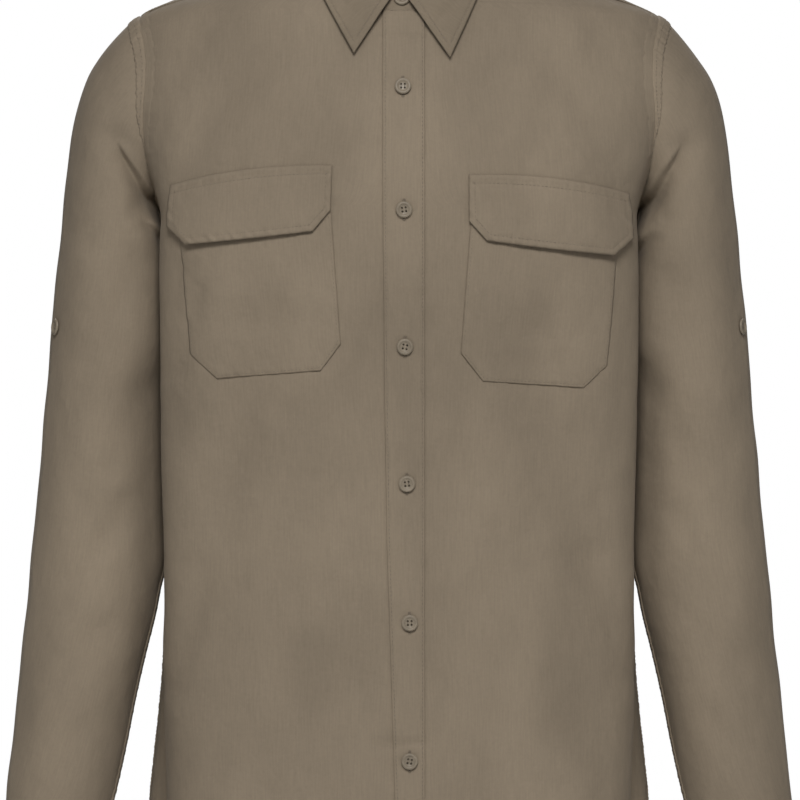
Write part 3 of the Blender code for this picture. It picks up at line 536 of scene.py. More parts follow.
# %% The materials
def cloth_material(name, colour, crinkle):
    """Poplin with cloudy tone (partly painted shade), specks and slubs in its colour, and weave and crinkles
    in its relief.
    """
    material, nodes, links, shader = new_shader(name, 0.86, 0.04)
    place = nodes.new("ShaderNodeTexCoord")
    slow = noise(nodes, links, place.outputs["Object"], 13, 4, (1, 1, 0.55))
    # The slow, upright-stretched colour noise is partly the cloth's uneven tone and partly painted shade
    # standing in for broad drape valleys.
    clouds_and_shade = spread(nodes, links, slow, *CLOUD_AND_SHADE_TONES)
    specks = spread(nodes, links, noise(nodes, links, place.outputs["Object"], 420, 2), 0.975, 1.025)
    slubs = spread(nodes, links, noise(nodes, links, place.outputs["UV"], 60, 3, (14, 0.8, 1)), 0.955, 1.045)
    factor = product(nodes, links, product(nodes, links, clouds_and_shade, specks), slubs)
    links.new(tinted(nodes, links, colour, factor), shader.inputs["Base Color"])
    warp = yarns(nodes, links, place.outputs["UV"], "X")
    weft = yarns(nodes, links, place.outputs["UV"], "Y")
    weave = bump(nodes, links, product(nodes, links, warp, weft), 0.00012, 0.5)
    small = noise(nodes, links, place.outputs["Object"], 110, 3)
    soft = bump(nodes, links, small, 0.0009, crinkle, weave)
    broad = noise(nodes, links, place.outputs["Object"], 26, 3)
    links.new(bump(nodes, links, broad, 0.006, crinkle * 1.4, soft), shader.inputs["Normal"])
    return material


def thread_material():
    """Sewing thread, a little uneven in tone."""
    material, nodes, links, shader = new_shader("sewing_thread", 0.6, 0.1)
    place = nodes.new("ShaderNodeTexCoord")
    factor = spread(nodes, links, noise(nodes, links, place.outputs["Object"], 900, 2), 0.85, 1.15)
    links.new(tinted(nodes, links, THREAD_COLOUR, factor), shader.inputs["Base Color"])
    return material


def button_material():
    """Resin, smoother than the cloth, with fine scratches."""
    material, nodes, links, shader = new_shader("button_resin", 0.38, 0.0)
    place = nodes.new("ShaderNodeTexCoord")
    factor = spread(nodes, links, noise(nodes, links, place.outputs["Object"], 160, 3), 0.86, 1.1)
    links.new(tinted(nodes, links, BUTTON_COLOUR, factor), shader.inputs["Base Color"])
    scratches = noise(nodes, links, place.outputs["Object"], 1500, 2)
    links.new(bump(nodes, links, scratches, 0.00005, 0.3), shader.inputs["Normal"])
    return material


def floor_material():
    """A pale matt floor."""
    material, _, _, shader = new_shader("pale_floor", 0.9, 0.0)
    shader.inputs["Base Color"].default_value = (0.8, 0.8, 0.79, 1)
    return material


POPLIN = cloth_material("cotton_poplin", BODY_COLOUR, 0.34)
FUSED_POPLIN = cloth_material("fused_poplin", COLLAR_COLOUR, 0.16)
THREAD = thread_material()
RESIN = button_material()
print("materials:", [m.name for m in bpy.data.materials][-4:])

# %% [markdown]
# ## Creases of the front
# Each crease is one row: where it starts and ends, how wide it is and how high. A positive height is a
# ridge and a negative one a trough. They differ in length, depth and spacing, because real creases do.
# Anything that lies on the front, such as a pocket, asks the same function and so rides over them.

# %% The front's relief
FRONT_CREASES = (
    (-112, -92, -166, -178, 11, -1.3),
    (-90, -110, -140, -176, 9, 0.8),
    (118, -96, 168, -186, 12, -1.2),
    (92, -118, 138, -170, 9, 0.7),
    (-18, -262, -20, -292, 10, -1.3),
    (27, -258, 25, -296, 11, -1.4),
    (-19, -520, -24, -566, 13, -1.6),
    (29, -510, 33, -560, 13, -1.6),
    (-104, -300, -136, -450, 24, -4.2),
    (-62, -352, -96, -520, 22, 1.0),
    (104, -306, 140, -460, 24, -4.2),
    (66, -356, 92, -500, 22, 1.0),
    (-44, -560, -60, -720, 17, -1.4),
    (-84, -600, -92, -740, 15, 1.2),
    (56, -590, 70, -740, 18, -1.5),
    (104, -560, 112, -720, 16, 1.1),
    (-12, -611, 18, -608, 4, -1.3),
    (-150, -268, -166, -330, 7, -1.2),
    (-64, -345, -60, -470, 14, 1.3),
    (62, -350, 58, -480, 14, 1.3),
    (-30, -300, -44, -420, 12, -1.2),
    (36, -296, 46, -430, 12, -1.2),
    (150, -470, 172, -560, 12, -2.2),
    (-150, -480, -172, -570, 12, -2.2),
    (-13, -77, 18, -79, 3, -1.0),
    (-168, -250, -172, -330, 8, -1.2),
    (168, -246, 172, -340, 8, -1.2),
    (-172, -360, -150, -420, 9, -1.0),
    (173, -352, 152, -430, 9, -1.1),
)


def front_relief(x, z):
    """How far the front's cloth stands out of its plain form."""
    return troughs(FRONT_CREASES, x, z) + 0.35 * sway(x * 1.3 + z * 0.4, 1.0) * ease((-z - 90) / 120)


def front_surface(x, z):
    """Points of the front and the ways out of it, without the relief."""
    x, z = np.asarray(x, float), np.asarray(z, float)
    spot, right, above = (
        settle(x + dx, side_depth(x + dx, z + dz, True), z + dz) for dx, dz in ((0, 0), (0.5, 0), (0, 0.5))
    )
    ways = np.cross(right - spot, above - spot)
    return spot, ways / np.linalg.norm(ways, axis=-1, keepdims=True)


def on_front(x, z, lift):
    """Points over the creased front."""
    spot, ways = front_surface(x, z)
    height = front_relief(np.asarray(x, float), np.asarray(z, float)) + lift
    return spot + ways * height[..., None], ways


# %% [markdown]
# ## The two fronts
# Each front runs from under the placket to the side seam and the armhole. Rows crowd where the armhole's
# curve is tight. Near the armhole we add pucker: a seam of two curved edges is eased together, and the
# cloth ripples across it. The ripples die out within two or three centimetres.

# %% Panel edges
PLACKET_EDGE = (
    (-40, -12.2),
    (-190, -12.2),
    (-330, -11.0),
    (-460, -9.0),
    (-553, -6.0),
    (-651, -3.0),
    (-790, 0.0),
)
PLACKET_SEAM_X = 19.4
JOINT_X = 9.0
YOKE_FRONT_STEP = 1
YOKE_BACK_STEP = 4
YOKE_NECK_Y = -48.0
BODY_END = -660.0
HEM_SIDE = -716.0
HEM_FRONT = -765.0
HEM_BACK = -785.0
PANEL_SHARES = (0, 0.13, 0.26, 0.38, 0.49, 0.59, 0.68, 0.76, 0.83, 0.90, 1)
PANEL_COLUMNS = 64
FRONT_ROWS = 140
BACK_ROWS = 130
HEM_ROWS = 32
NECK_SIDE_Z = -15.5
FAR_OFF = 99.0
LOBE_Y = 56.0
LOBE_SWELL = 2.2
BACK_COLUMNS = 46
SEAM_TOP = arm_z(YOKE_FRONT_STEP)


# %% Where the panels end
def placket_x(z):
    """The placket's free edge at each height."""
    rows = np.array(PLACKET_EDGE)
    return np.interp(-np.asarray(z, float), -rows[:, 0], rows[:, 1])


def yoke_front_y(x):
    """The front yoke seam's y."""
    end = arm_point(YOKE_FRONT_STEP, True)
    share = np.clip((x - 70) / (end[0] - 70), 0, 1)
    return YOKE_NECK_Y + (end[1] - YOKE_NECK_Y) * share**3


def hem_level(x, front):
    """The hem's height, lowest at the middle and highest at the side."""
    middle = HEM_FRONT if front else HEM_BACK
    return middle + (HEM_SIDE - middle) * ease((np.minimum(np.abs(x) / 190.0, 1.0) - 0.25) / 0.75)


def crowd(shares, first, last, end):
    """Places from first to last; those near last crowd where the armhole cuts the row short."""
    short = 1 - (last - first) / (end - first)
    return first + (end - first) * shares * (1 - short * shares**2)


def front_limits(section, side):
    """The first place, the placket's edge and the last place of a front panel on a section."""
    z = section.z
    if z >= SEAM_TOP - 0.01:
        last = section.run_where(section.y - yoke_front_y(section.x))
    elif z >= ARM_BOTTOM:
        last = arm_run(section)
    else:
        last = section.run[-1]
    first = section.run_at_x(JOINT_X * side)
    edge = section.run_at_x((float(placket_x(z)) if side < 0 else PLACKET_SEAM_X) * side)
    around = section.run_where(neck_offset(section.x, section.y))
    if neck_offset(*section.at(first)) < 0:
        first = around
    if neck_offset(*section.at(edge)) < 0:
        edge = max(around, first) + 0.12 * max(last - around, 1.0)
    return first, max(edge, first + 1.0), last


def arm_levels(first_step):
    """Row heights beside the armhole, from a step down to its bottom."""
    steps = np.linspace(first_step, 12, int((12 - first_step) * 8) + 1)
    return [arm_z(step) for step in steps]


# %% The front panels
def panel_rows(levels, body_rows, hem_rows):
    """Heights of a panel's rows with each row's share of the drop to the hem."""
    body = np.linspace(ARM_BOTTOM, BODY_END, body_rows)[1:]
    drops = np.linspace(0, 1, hem_rows + 1)[1:]
    return [(z, 0.0) for z in list(levels) + list(body)] + [(BODY_END, drop) for drop in drops]


def finer(shares, count):
    """A short list of shares, read at more places."""
    return np.interp(np.linspace(0, 1, count), np.linspace(0, 1, len(shares)), shares)


def front_piece(side):
    """A front panel; side is -1 for the wearer's right and 1 for the left."""
    top = np.linspace(NECK_SIDE_Z, SEAM_TOP, 26)[:-1]
    shares = finer(PANEL_SHARES, PANEL_COLUMNS)
    grid, from_arm = [], []
    for z, drop in panel_rows(list(top) + arm_levels(YOKE_FRONT_STEP), FRONT_ROWS, HEM_ROWS):
        section = Section(z, True)
        first, edge, last = front_limits(section, side)
        end = max(section.run[-1], last) if z < SEAM_TOP else last
        places = np.concatenate((np.linspace(first, edge, 4)[:-1], crowd(shares, edge, last, end)))
        x, _ = section.at(places)
        deep = z + (hem_level(x, True) - z) * drop
        grid.append(section.points(places, deep))
        from_arm.append(last - places if ARM_BOTTOM <= z <= SEAM_TOP else np.full(len(places), FAR_OFF))
    grid = np.array(grid) * np.array([side, 1, 1])
    plain = Piece(grid)
    x, y, z = grid[..., 0], grid[..., 1], grid[..., 2]
    ahead = ease(-y / 50)
    relief = front_relief(x, z) * ahead
    relief += 0.9 * wobble(z * 0.9 + 4 * side, 2.0 + side) * np.exp(-np.array(from_arm) / 10)
    relief += 0.5 * wobble(z * 0.55, 5.0 - side) * np.exp(-np.abs(y) / 9) * (z < ARM_BOTTOM)
    lobe = np.exp(-(((y + LOBE_Y) / 20) ** 2)) * ease((ARM_BOTTOM - z) / 25) * ease((z + 520) / 40)
    relief += LOBE_SWELL * lobe
    hem_gap = z - hem_level(x, True)
    relief += 0.45 * wobble(x * 0.8, 3.0 + side) * np.exp(-((hem_gap / 9) ** 2))
    return plain.moved(relief)


fronts = {side: front_piece(side) for side in (-1, 1)}
WORDS = {-1: "right", 1: "left"}
for side, piece in fronts.items():
    thing = piece.make(f"front_{WORDS[side]}_cloth", POPLIN)
    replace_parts(thing, f"front_{WORDS[side]}")
    print(thing.name, piece.grid.shape)

# %% [markdown]
# ## The back
# The back is one panel below the yoke seam. The photograph doesn't show it, so it gets the creases that
# such a back usually has: a soft fall from each shoulder blade, a slack hollow above the waist and a
# few upright folds near the hem, all a little different from each other.

# %% The back panel
BACK_SHARES = (0, 0.15, 0.30, 0.44, 0.56, 0.67, 0.77, 0.88, 1)
BACK_CREASES = (
    (-96, -150, -128, -260, 13, -1.6),
    (92, -160, 130, -290, 14, -1.5),
    (-40, -390, -76, -520, 20, -1.8),
    (52, -420, 96, -560, 18, -1.6),
    (-6, -300, 8, -420, 24, 1.2),
    (-110, -540, -98, -730, 16, 1.4),
    (-58, -600, -50, -760, 15, -1.5),
    (20, -580, 30, -760, 17, 1.3),
    (88, -600, 96, -740, 15, -1.4),
    (-150, -330, -120, -400, 10, -1.2),
    (152, -350, 118, -430, 11, -1.2),
)


def back_piece():
    """The back panel, from side seam to side seam."""
    half = finer(BACK_SHARES, BACK_COLUMNS)
    grid, from_arm = [], []
    for z, drop in panel_rows(arm_levels(YOKE_BACK_STEP), BACK_ROWS, HEM_ROWS):
        section = Section(z, False)
        last = arm_run(section) if z >= ARM_BOTTOM else section.run[-1]
        places = crowd(half, 0.0, last, section.run[-1])
        places = np.concatenate((-places[:0:-1], places))
        x, _ = section.at(places)
        grid.append(section.points(places, z + (hem_level(x, False) - z) * drop))
        gap = last - np.abs(places)
        from_arm.append(gap if z >= ARM_BOTTOM else np.full(len(places), FAR_OFF))
    grid = np.array(grid)
    x, y, z = grid[..., 0], grid[..., 1], grid[..., 2]
    relief = troughs(BACK_CREASES, x, z) * ease(y / 50) + 0.5 * sway(x * 1.2 + z * 0.5, 4.0) * ease(y / 50)
    relief += 0.9 * wobble(z * 0.9, 7.0) * np.exp(-np.array(from_arm) / 10)
    relief += 0.45 * wobble(x * 0.8, 9.0) * np.exp(-(((z - hem_level(x, False)) / 9) ** 2))
    return Piece(grid).moved(relief)


back = back_piece()
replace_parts(back.make("back_cloth", POPLIN), "back")
print("back", back.grid.shape)

# %% [markdown]
# ## The yoke
# The yoke carries the shirt's weight over both shoulders. Its four edges are known already: the back
# seam, the armhole, the front seam and the neckline. A Coons patch fills in between four edges, and a
# ray from inside the chest then puts each point on the shoulders.

# %% A patch over the shoulders
YOKE_ROWS = 46
YOKE_COLUMNS = 84
CHEST_LEVEL = -115.0
CORE_LEVEL = -110.0
CORE_SHARE = 0.75


def inside_torso(x, y, z):
    """Whether places lie inside the plain form."""
    between = (y > side_depth(x, z, True)) & (y < side_depth(x, z, False))
    return (np.abs(x) < level(z)[..., 1]) & between & (z < TORSO_TOP)


def core(points):
    """The places inside the chest from which rays run out to the points."""
    x, y, z = points[..., 0], points[..., 1], points[..., 2]
    return np.stack((x * CORE_SHARE, 0 * y, 0 * z + CORE_LEVEL), axis=-1)


def top_height(x, y):
    """How high the shoulders are over x and y."""
    low, high = np.full(np.shape(x), CHEST_LEVEL), np.full(np.shape(x), TORSO_TOP)
    for _ in range(40):
        middle = (low + high) / 2
        inside = inside_torso(x, y, middle)
        low, high = np.where(inside, middle, low), np.where(inside, high, middle)
    return low


def neck_point(angle):
    """Points of the neckline; the angle is 0 at the centre front and half a turn at the back."""
    x = NECK_HALF_WIDTH * np.sin(angle)
    y = NECK_CENTRE_Y - NECK_HALF_DEPTH * np.cos(angle)
    return np.stack((x, y, top_height(x, y)), axis=-1)


def on_torso(points):
    """Moves points near the shoulders onto the form, along rays from inside."""
    centre = core(points)
    low, high = np.full(points.shape[:-1], 0.4), np.full(points.shape[:-1], 1.6)
    for _ in range(36):
        middle = (low + high) / 2
        spot = centre + (points - centre) * middle[..., None]
        inside = inside_torso(spot[..., 0], spot[..., 1], spot[..., 2])
        low, high = np.where(inside, middle, low), np.where(inside, high, middle)
    return centre + (points - centre) * low[..., None]


def evenly(points, count):
    """Points spread evenly along a line of points."""
    points = np.array(points, float)
    run = run_along(points)
    spots = np.linspace(0, run[-1], count)
    return np.stack([np.interp(spots, run, points[:, k]) for k in range(3)], axis=-1)


def yoke_seam():
    """The front yoke seam from the neckline to the armhole, on the wearer's left."""
    points = []
    for z in np.linspace(NECK_SIDE_Z, SEAM_TOP, 50):
        section = Section(z, True)
        points.append(np.append(section.at(front_limits(section, 1)[2]), z))
    return np.array(points)


# %% The yoke piece
def yoke_edges():
    """The four edges of the yoke's left half."""
    seam = yoke_seam()
    angles = np.linspace(math.pi, math.pi / 6, 200)
    neck = neck_point(angles)
    neck = neck[neck[:, 1] >= seam[0][1]]
    half = YOKE_COLUMNS // 2
    top = np.concatenate((evenly(neck, half), evenly(seam, YOKE_COLUMNS - half + 1)[1:]))
    section = Section(arm_z(YOKE_BACK_STEP), False)
    bottom = section.points(np.linspace(0, arm_run(section), len(top)))
    heights = np.linspace(bottom[0][2], top[0][2], 60)
    middle = np.stack((0 * heights, side_depth(0 * heights, heights, False), heights), axis=-1)
    rim = [arm_point(k, False) for k in np.linspace(YOKE_BACK_STEP, 0, 60)]
    rim += [arm_point(k, True) for k in np.linspace(0, YOKE_FRONT_STEP, 16)[1:]]
    return bottom, top, evenly(middle, YOKE_ROWS), evenly(rim, YOKE_ROWS)


def yoke_piece():
    """The yoke over both shoulders."""
    bottom, top, left, right = yoke_edges()
    v = np.linspace(0, 1, YOKE_ROWS)[:, None, None]
    u = np.linspace(0, 1, len(top))[None, :, None]
    patch = (1 - v) * bottom[None] + v * top[None] + (1 - u) * left[:, None] + u * right[:, None]
    patch -= (1 - v) * ((1 - u) * bottom[0] + u * bottom[-1]) + v * ((1 - u) * top[0] + u * top[-1])
    laid = on_torso(patch)
    laid[0], laid[-1], laid[:, 0], laid[:, -1] = bottom, top, left, right
    grid = np.concatenate((laid[:, :0:-1] * np.array([-1, 1, 1]), laid), axis=1)
    plain = Piece(grid, centre=(0, 0, -200))
    from_arm = 200.0 - np.abs(grid[..., 0])
    relief = 0.5 * wobble(grid[..., 1] * 0.9, 3.0) * np.exp(-np.maximum(from_arm, 0) / 9)
    relief += 0.4 * sway(grid[..., 0] * 1.4 + grid[..., 1], 2.0)
    last = np.linalg.norm(grid - grid[-1:], axis=2)
    first = np.linalg.norm(grid - grid[:1], axis=2)
    relief += 0.6 * np.exp(-((last / 5) ** 2)) + 0.6 * np.exp(-((first / 5) ** 2))
    return plain.moved(relief)


yoke = yoke_piece()
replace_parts(yoke.make("yoke_cloth", POPLIN), "yoke")
print("yoke", yoke.grid.shape)

# %% [markdown]
# ## Sleeves
# A sleeve is a stack of rings from the armhole to the cuff. The table gives each ring's outer and inner
# point, its depth and its centre. The first ring is the armhole itself, and the next few blend into the
# plain rings. The pressed crease down the outside and the folds into the armpit are added on top.

# %% Sleeve form
SLEEVE_RINGS = (
    (199.0, -51, 184.5, -205, 57.5, -2.5),
    (207.5, -55.5, 184.9, -207, 58.5, 0),
    (221.5, -70, 185.2, -213, 60, 2),
    (234.0, -86, 185.2, -222, 61, 4),
    (243.0, -101, 185.2, -233, 62, 5),
    (250.5, -122, 185.1, -248, 62.5, 6),
    (256.0, -148, 185.0, -266, 62.5, 7),
    (260.0, -185, 184.8, -292, 62, 8),
    (264.5, -226, 184.5, -320, 61.5, 9),
    (269.0, -270, 184.2, -350, 61, 10),
    (273.0, -315, 184.0, -380, 60.5, 10),
    (276.5, -360, 183.8, -412, 60, 10),
    (280.5, -405, 183.5, -444, 59.5, 9),
    (284.5, -450, 183.2, -478, 58.5, 7),
    (289.2, -500, 188.2, -513, 57.5, 3),
    (293.0, -543, 196.8, -549, 56, -2),
    (296.5, -580, 204.0, -582, 54, -8),
    (299.7, -615, 210.4, -616, 51, -14),
    (302.3, -643, 216.0, -643, 47, -20),
    (303.6, -662, 220.4, -662, 41, -24),
    (303.8, -671, 222.0, -671, 37, -25),
)
SLEEVE_CLEAR = 0.35
LAST_RING = len(SLEEVE_RINGS) - 1
SLEEVE_RADIUS = 52
SLEEVE_BLEND_RINGS = 4.0
SLEEVE_TOUCH = 0.6
FULL_TURN = 1.23 * math.pi
FULLNESS = 7.5
SLEEVE_COLUMNS = 140
SLEEVE_ROWS = 194
ARMPIT_FOLDS = {
    1: ((220, -158, 186, -206, 11, -5.0), (203, -214, 185, -242, 9, -2.5)),
    -1: ((220, -150, 184, -200, 11, -5.0), (199, -206, 184, -232, 9, -2.5)),
}


def ring_sizes(t):
    """The sleeve's sizes at t rings from the armhole, by a smooth curve through the table."""
    keys = np.arange(len(SLEEVE_RINGS))
    table = np.column_stack((-keys, np.array(SLEEVE_RINGS, float)))
    return smooth_rows(table, -np.asarray(t, float))[:, 1:]


def sleeve_points(t, angle):
    """Points of the left sleeve's plain rings; the angle is 0 outside and grows to the back."""
    outer_x, outer_z, inner_x, inner_z, half, centre_y = ring_sizes(t).T
    middle = np.stack(((outer_x + inner_x) / 2, centre_y, (outer_z + inner_z) / 2), axis=-1)
    reach = np.stack(((outer_x - inner_x) / 2, 0 * half, (outer_z - inner_z) / 2), axis=-1)
    deep = np.stack((0 * half, half, 0 * half), axis=-1)
    return middle + reach * np.cos(angle)[:, None] + deep * np.sin(angle)[:, None]


def armhole_loop(angles):
    """Points of the armhole, once round from its top."""
    spots = []
    for angle in angles:
        turn = angle / ARM_STEP
        spots.append(arm_point(turn, False) if turn <= 12 else arm_point(24 - turn, True))
    return np.array(spots)


# %% [markdown]
# ### A sleeve's creases
# Two kinds of line are used. A trough or ridge is soft on both sides. A lap is a fold that leans over:
# it rises on its upper side and drops quickly on the lower one, so it throws a crisp shadow, as the
# folds do that run from the sleeve's front into the armpit.

# %% Sleeve creases
LAP_SHARP = 0.55
SLEEVE_LAPS = {
    1: ((214, -161, 186, -200, 8, 3.8), (196, -222, 185, -240, 5, 2.2)),
    -1: ((214, -158, 186, -197, 8, 3.9), (195, -214, 185, -230, 5, 2.2)),
}
SLEEVE_SOFT = {
    1: (
        (206, -256, 232, -330, 13, -1.8),
        (196, -330, 226, -410, 12, -1.6),
        (240, -200, 252, -300, 15, 1.0),
        (212, -440, 250, -500, 13, -2.2),
        (226, -520, 262, -560, 12, -2.0),
        (228, -466, 268, -520, 10, 1.2),
        (238, -590, 270, -640, 11, -1.4),
    ),
    -1: (
        (204, -246, 234, -322, 13, -1.9),
        (198, -340, 222, -402, 12, -1.4),
        (242, -190, 250, -290, 15, 1.0),
        (210, -430, 246, -490, 13, -2.3),
        (228, -528, 264, -572, 12, -2.0),
        (224, -476, 262, -530, 10, 1.2),
        (240, -600, 272, -646, 11, -1.4),
    ),
}
PRESSED_ANGLE = 0.44
PRESSED_HEIGHT = 0.9


def laps(rows, x, z):
    """Folds that lean over: each line lifts the cloth on its upper side and sinks it below."""
    total = np.zeros(np.broadcast(x, z).shape)
    for x0, z0, x1, z1, half, height in rows:
        dx, dz = x1 - x0, z1 - z0
        size = math.hypot(dx, dz)
        t = ((x - x0) * dx + (z - z0) * dz) / (size * size)
        across = ((x - x0) * -dz + (z - z0) * dx) / size
        ends = ease((t + 0.15) / 0.3) * ease((1.25 - t) / 0.4)
        share = np.clip(across / half, -6, 6)
        step = 1 / (1 + np.exp(-share * half / LAP_SHARP))
        upper = np.exp(-(share**2)) * (1 - step)
        lower = -1.1 * np.exp(-np.maximum(share, 0) / 1.2) * step
        total = total + height * (upper + lower) * ends
    return total


# %% The sleeve pieces
def sleeve_piece(side):
    """A sleeve as rings from the armhole to the cuff, with its folds and creases."""
    angles = np.linspace(0, 2 * math.pi, SLEEVE_COLUMNS, endpoint=False)
    rings = LAST_RING * np.linspace(0, 1, SLEEVE_ROWS) ** 1.08
    seam = armhole_loop(angles)
    start = sleeve_points(np.zeros(len(angles)), angles)
    grid = []
    for t in rings:
        points = sleeve_points(np.full(len(angles), t), angles)
        grid.append(points + (seam - start) * max(0.0, 1 - t / SLEEVE_BLEND_RINGS) ** 2)
    grid = np.array(grid)
    grid[..., 0] += SLEEVE_CLEAR
    plain = Piece(grid, wrap=True, centre=(240, 0, -350))
    x, z = grid[..., 0], grid[..., 2]
    turn = np.broadcast_to(angles, x.shape)
    ahead = np.clip(-np.sin(turn) * 2, 0, 1) * (np.arange(SLEEVE_ROWS) > 0)[:, None]
    behind = np.clip(np.sin(turn) * 2, 0, 1) * (np.arange(SLEEVE_ROWS) > 0)[:, None]
    away = 1 - np.clip(-np.cos(turn) * 1.4, 0, 1)
    relief = troughs(ARMPIT_FOLDS[side], x, z) * ahead + laps(SLEEVE_LAPS[side], x, z) * ahead
    relief += troughs(SLEEVE_SOFT[side], x, z) * ahead
    relief += troughs(SLEEVE_SOFT[-side], x, z - 30) * behind
    relief += 0.5 * sway(z * 1.1 + np.cos(turn) * 40, side) * away
    down = np.broadcast_to(rings[:, None], x.shape)
    ease_in = np.exp(-down / 0.45) * (1 - np.exp(-down / 0.1))
    relief += 0.8 * wobble(turn * SLEEVE_RADIUS, 1.0 + side) * ease_in
    crease = np.abs((turn + math.pi) % (2 * math.pi) - math.pi + PRESSED_ANGLE) * SLEEVE_RADIUS
    relief += PRESSED_HEIGHT * np.exp(-crease / 4) * ease((down - 4) / 3) * ease((LAST_RING - down) / 3)
    full = np.exp(-(((turn - FULL_TURN) / 0.48) ** 2)) * ease((-z - 195) / 30) * ease((z + 352) / 50)
    relief += FULLNESS * full
    touch = np.exp(-(((turn - math.pi) / 0.4) ** 2)) * ease((-z - 205) / 25) * ease((z + 500) / 30)
    relief += np.clip(x - level(z)[..., 1] - SLEEVE_TOUCH, 0, 6) * touch
    gather = np.exp(-(LAST_RING - down) / 0.8)
    relief += 0.9 * wobble(turn * 30, 6.0) * gather * (1 - np.exp(-(LAST_RING - down) / 0.25))
    moved = plain.moved(relief)
    mirror = np.array([side, 1, 1])
    return Piece(moved.grid * mirror, moved.ways * mirror, wrap=True, centre=(240 * side, 0, -350))


sleeves = {side: sleeve_piece(side) for side in (-1, 1)}
for side, piece in sleeves.items():
    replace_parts(piece.make(f"sleeve_{WORDS[side]}_cloth", POPLIN), f"sleeve_{WORDS[side]}")
    print("sleeve", WORDS[side], piece.grid.shape)

# %% [markdown]
# ## Placket
# The placket is a folded strip, so its edges are rounded and a little thicker than the panel. One edge
# is free and shows as a dark line, and the other is sewn down. The columns lie closest where the edges
# turn and where the needle has pulled a shallow groove.

# %% The placket strip
STRIP_INSETS = (0, 0.35, 0.8, 1.4, 1.9, 2.4, 3.0, 4.2, 5.4, 6.0, 6.6, 8, 10, 12.5)
STRIP_MIDDLE = 13.6
STITCH_INSET = 2.0
PLACKET_TOP = -56.0
PLACKET_ROWS = 250
PLACKET_HEM_ROWS = 40


def turned_edge(gap):
    """How a folded edge rounds off, and the groove along its stitches."""
    return -0.75 * np.exp(-((gap / 0.8) ** 2)) - 0.28 * np.exp(-(((gap - STITCH_INSET) / 0.8) ** 2))


def placket_piece():
    """The placket, laid over the front and following the hem below."""
    grid, gaps = [], []
    for z in np.linspace(PLACKET_TOP, BODY_END, PLACKET_ROWS):
        low, high = float(placket_x(z)), PLACKET_SEAM_X
        width = high - low
        half = [gap * min(1.0, width / 2 / STRIP_MIDDLE) for gap in STRIP_INSETS]
        places = [low + gap for gap in half] + [low + width / 2] + [high - gap for gap in reversed(half)]
        grid.append(np.array([(x, z) for x in places]))
        gaps.append(np.minimum(np.array(places) - low, high - np.array(places)))
    flat, gap = np.array(grid), np.array(gaps)
    level_row = flat[-1]
    for drop in np.linspace(0, 1, PLACKET_HEM_ROWS)[1:]:
        row = level_row.copy()
        row[:, 1] = BODY_END + (hem_level(row[:, 0], True) - BODY_END) * drop
        flat = np.concatenate((flat, row[None]))
        gap = np.concatenate((gap, gap[-1:]))
    x, z = flat[..., 0], flat[..., 1]
    lift = LAYER + 0.5 + turned_edge(gap) + 0.28 * wobble(z * 0.6, 2.0) * np.exp(-gap / 3)
    lift -= 1.7 * (1 - ease((PLACKET_TOP - z) / 4))
    points, ways = on_front(x, z, lift)
    return Piece(points, ways)


placket = placket_piece()
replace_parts(placket.make("placket_cloth", POPLIN, 1.2), "placket")
print("placket", placket.grid.shape)

# %% [markdown]
# ## Pockets and flaps
# A patch pocket is a six-cornered piece of cloth with its edges turned in, sewn down on three sides. The
# flap is two layers sewn together, turned and topstitched, so its edge is full and the stitches draw it
# into small puckers. It stands off the pocket lower down, and this throws the soft shadow under it.

# %% Outlines of pockets and flaps
POCKET_OUTLINE = {
    -1: ((-168, -203), (-52, -191), (-43.6, -309), (-58.6, -329), (-137.6, -335), (-158.8, -316)),
    1: ((55, -198), (168, -210), (158, -325), (140.2, -342), (63, -337), (46.4, -316)),
}
FLAP_OUTLINE = {
    -1: ((-173.2, -188), (-49.9, -175), (-51, -209), (-64.4, -224), (-157.8, -233), (-172.6, -219)),
    1: ((52.2, -182), (175, -194), (174, -228), (159, -241), (65.6, -231), (52.2, -217)),
}


def inward_edges(outline):
    """Each edge's first corner and the unit way that leads inside."""
    middle = np.mean(outline, axis=0)
    edges = []
    for (x0, z0), (x1, z1) in zip(outline, outline[1:] + outline[:1]):
        across = np.array([z1 - z0, x0 - x1]) / math.hypot(x1 - x0, z1 - z0)
        if np.dot(across, middle - np.array((x0, z0))) < 0:
            across = -across
        edges.append(((x0, z0), across))
    return edges


def outline_gap(outline, x, z):
    """How far inside an outline each place is."""
    gap = np.full(np.shape(x), 1e9)
    for (x0, z0), across in inward_edges(outline):
        gap = np.minimum(gap, (x - x0) * across[0] + (z - z0) * across[1])
    return gap


def inset_outline(outline, distance):
    """The outline's corners moved in by a distance from every edge."""
    lines = [(across, np.dot(across, corner) + distance) for corner, across in inward_edges(outline)]
    corners = []
    for (a, p), (b, q) in zip(lines[-1:] + lines[:-1], lines):
        corners.append(np.linalg.solve(np.array([a, b]), np.array([p, q])))
    return np.array(corners)


def six_corner_grid(outline, rows, columns):
    """A grid of (x, z) places in a shape with two clipped lower corners."""
    top_left, top_right, low_right, clip_right, clip_left, low_left = (np.array(c, float) for c in outline)
    bend = 0.78
    flat = []
    for v in np.linspace(0, 1, rows):
        if v <= bend:
            left = top_left + (low_left - top_left) * v / bend
            right = top_right + (low_right - top_right) * v / bend
        else:
            w = (v - bend) / (1 - bend)
            left = low_left + (clip_left - low_left) * w
            right = low_right + (clip_right - low_right) * w
        u = np.linspace(0, 1, columns)[:, None]
        flat.append(left * (1 - u) + right * u)
    return np.array(flat)


# %% Pockets
POCKET_LIFT = 1.5
POCKET_STITCH = 2.2


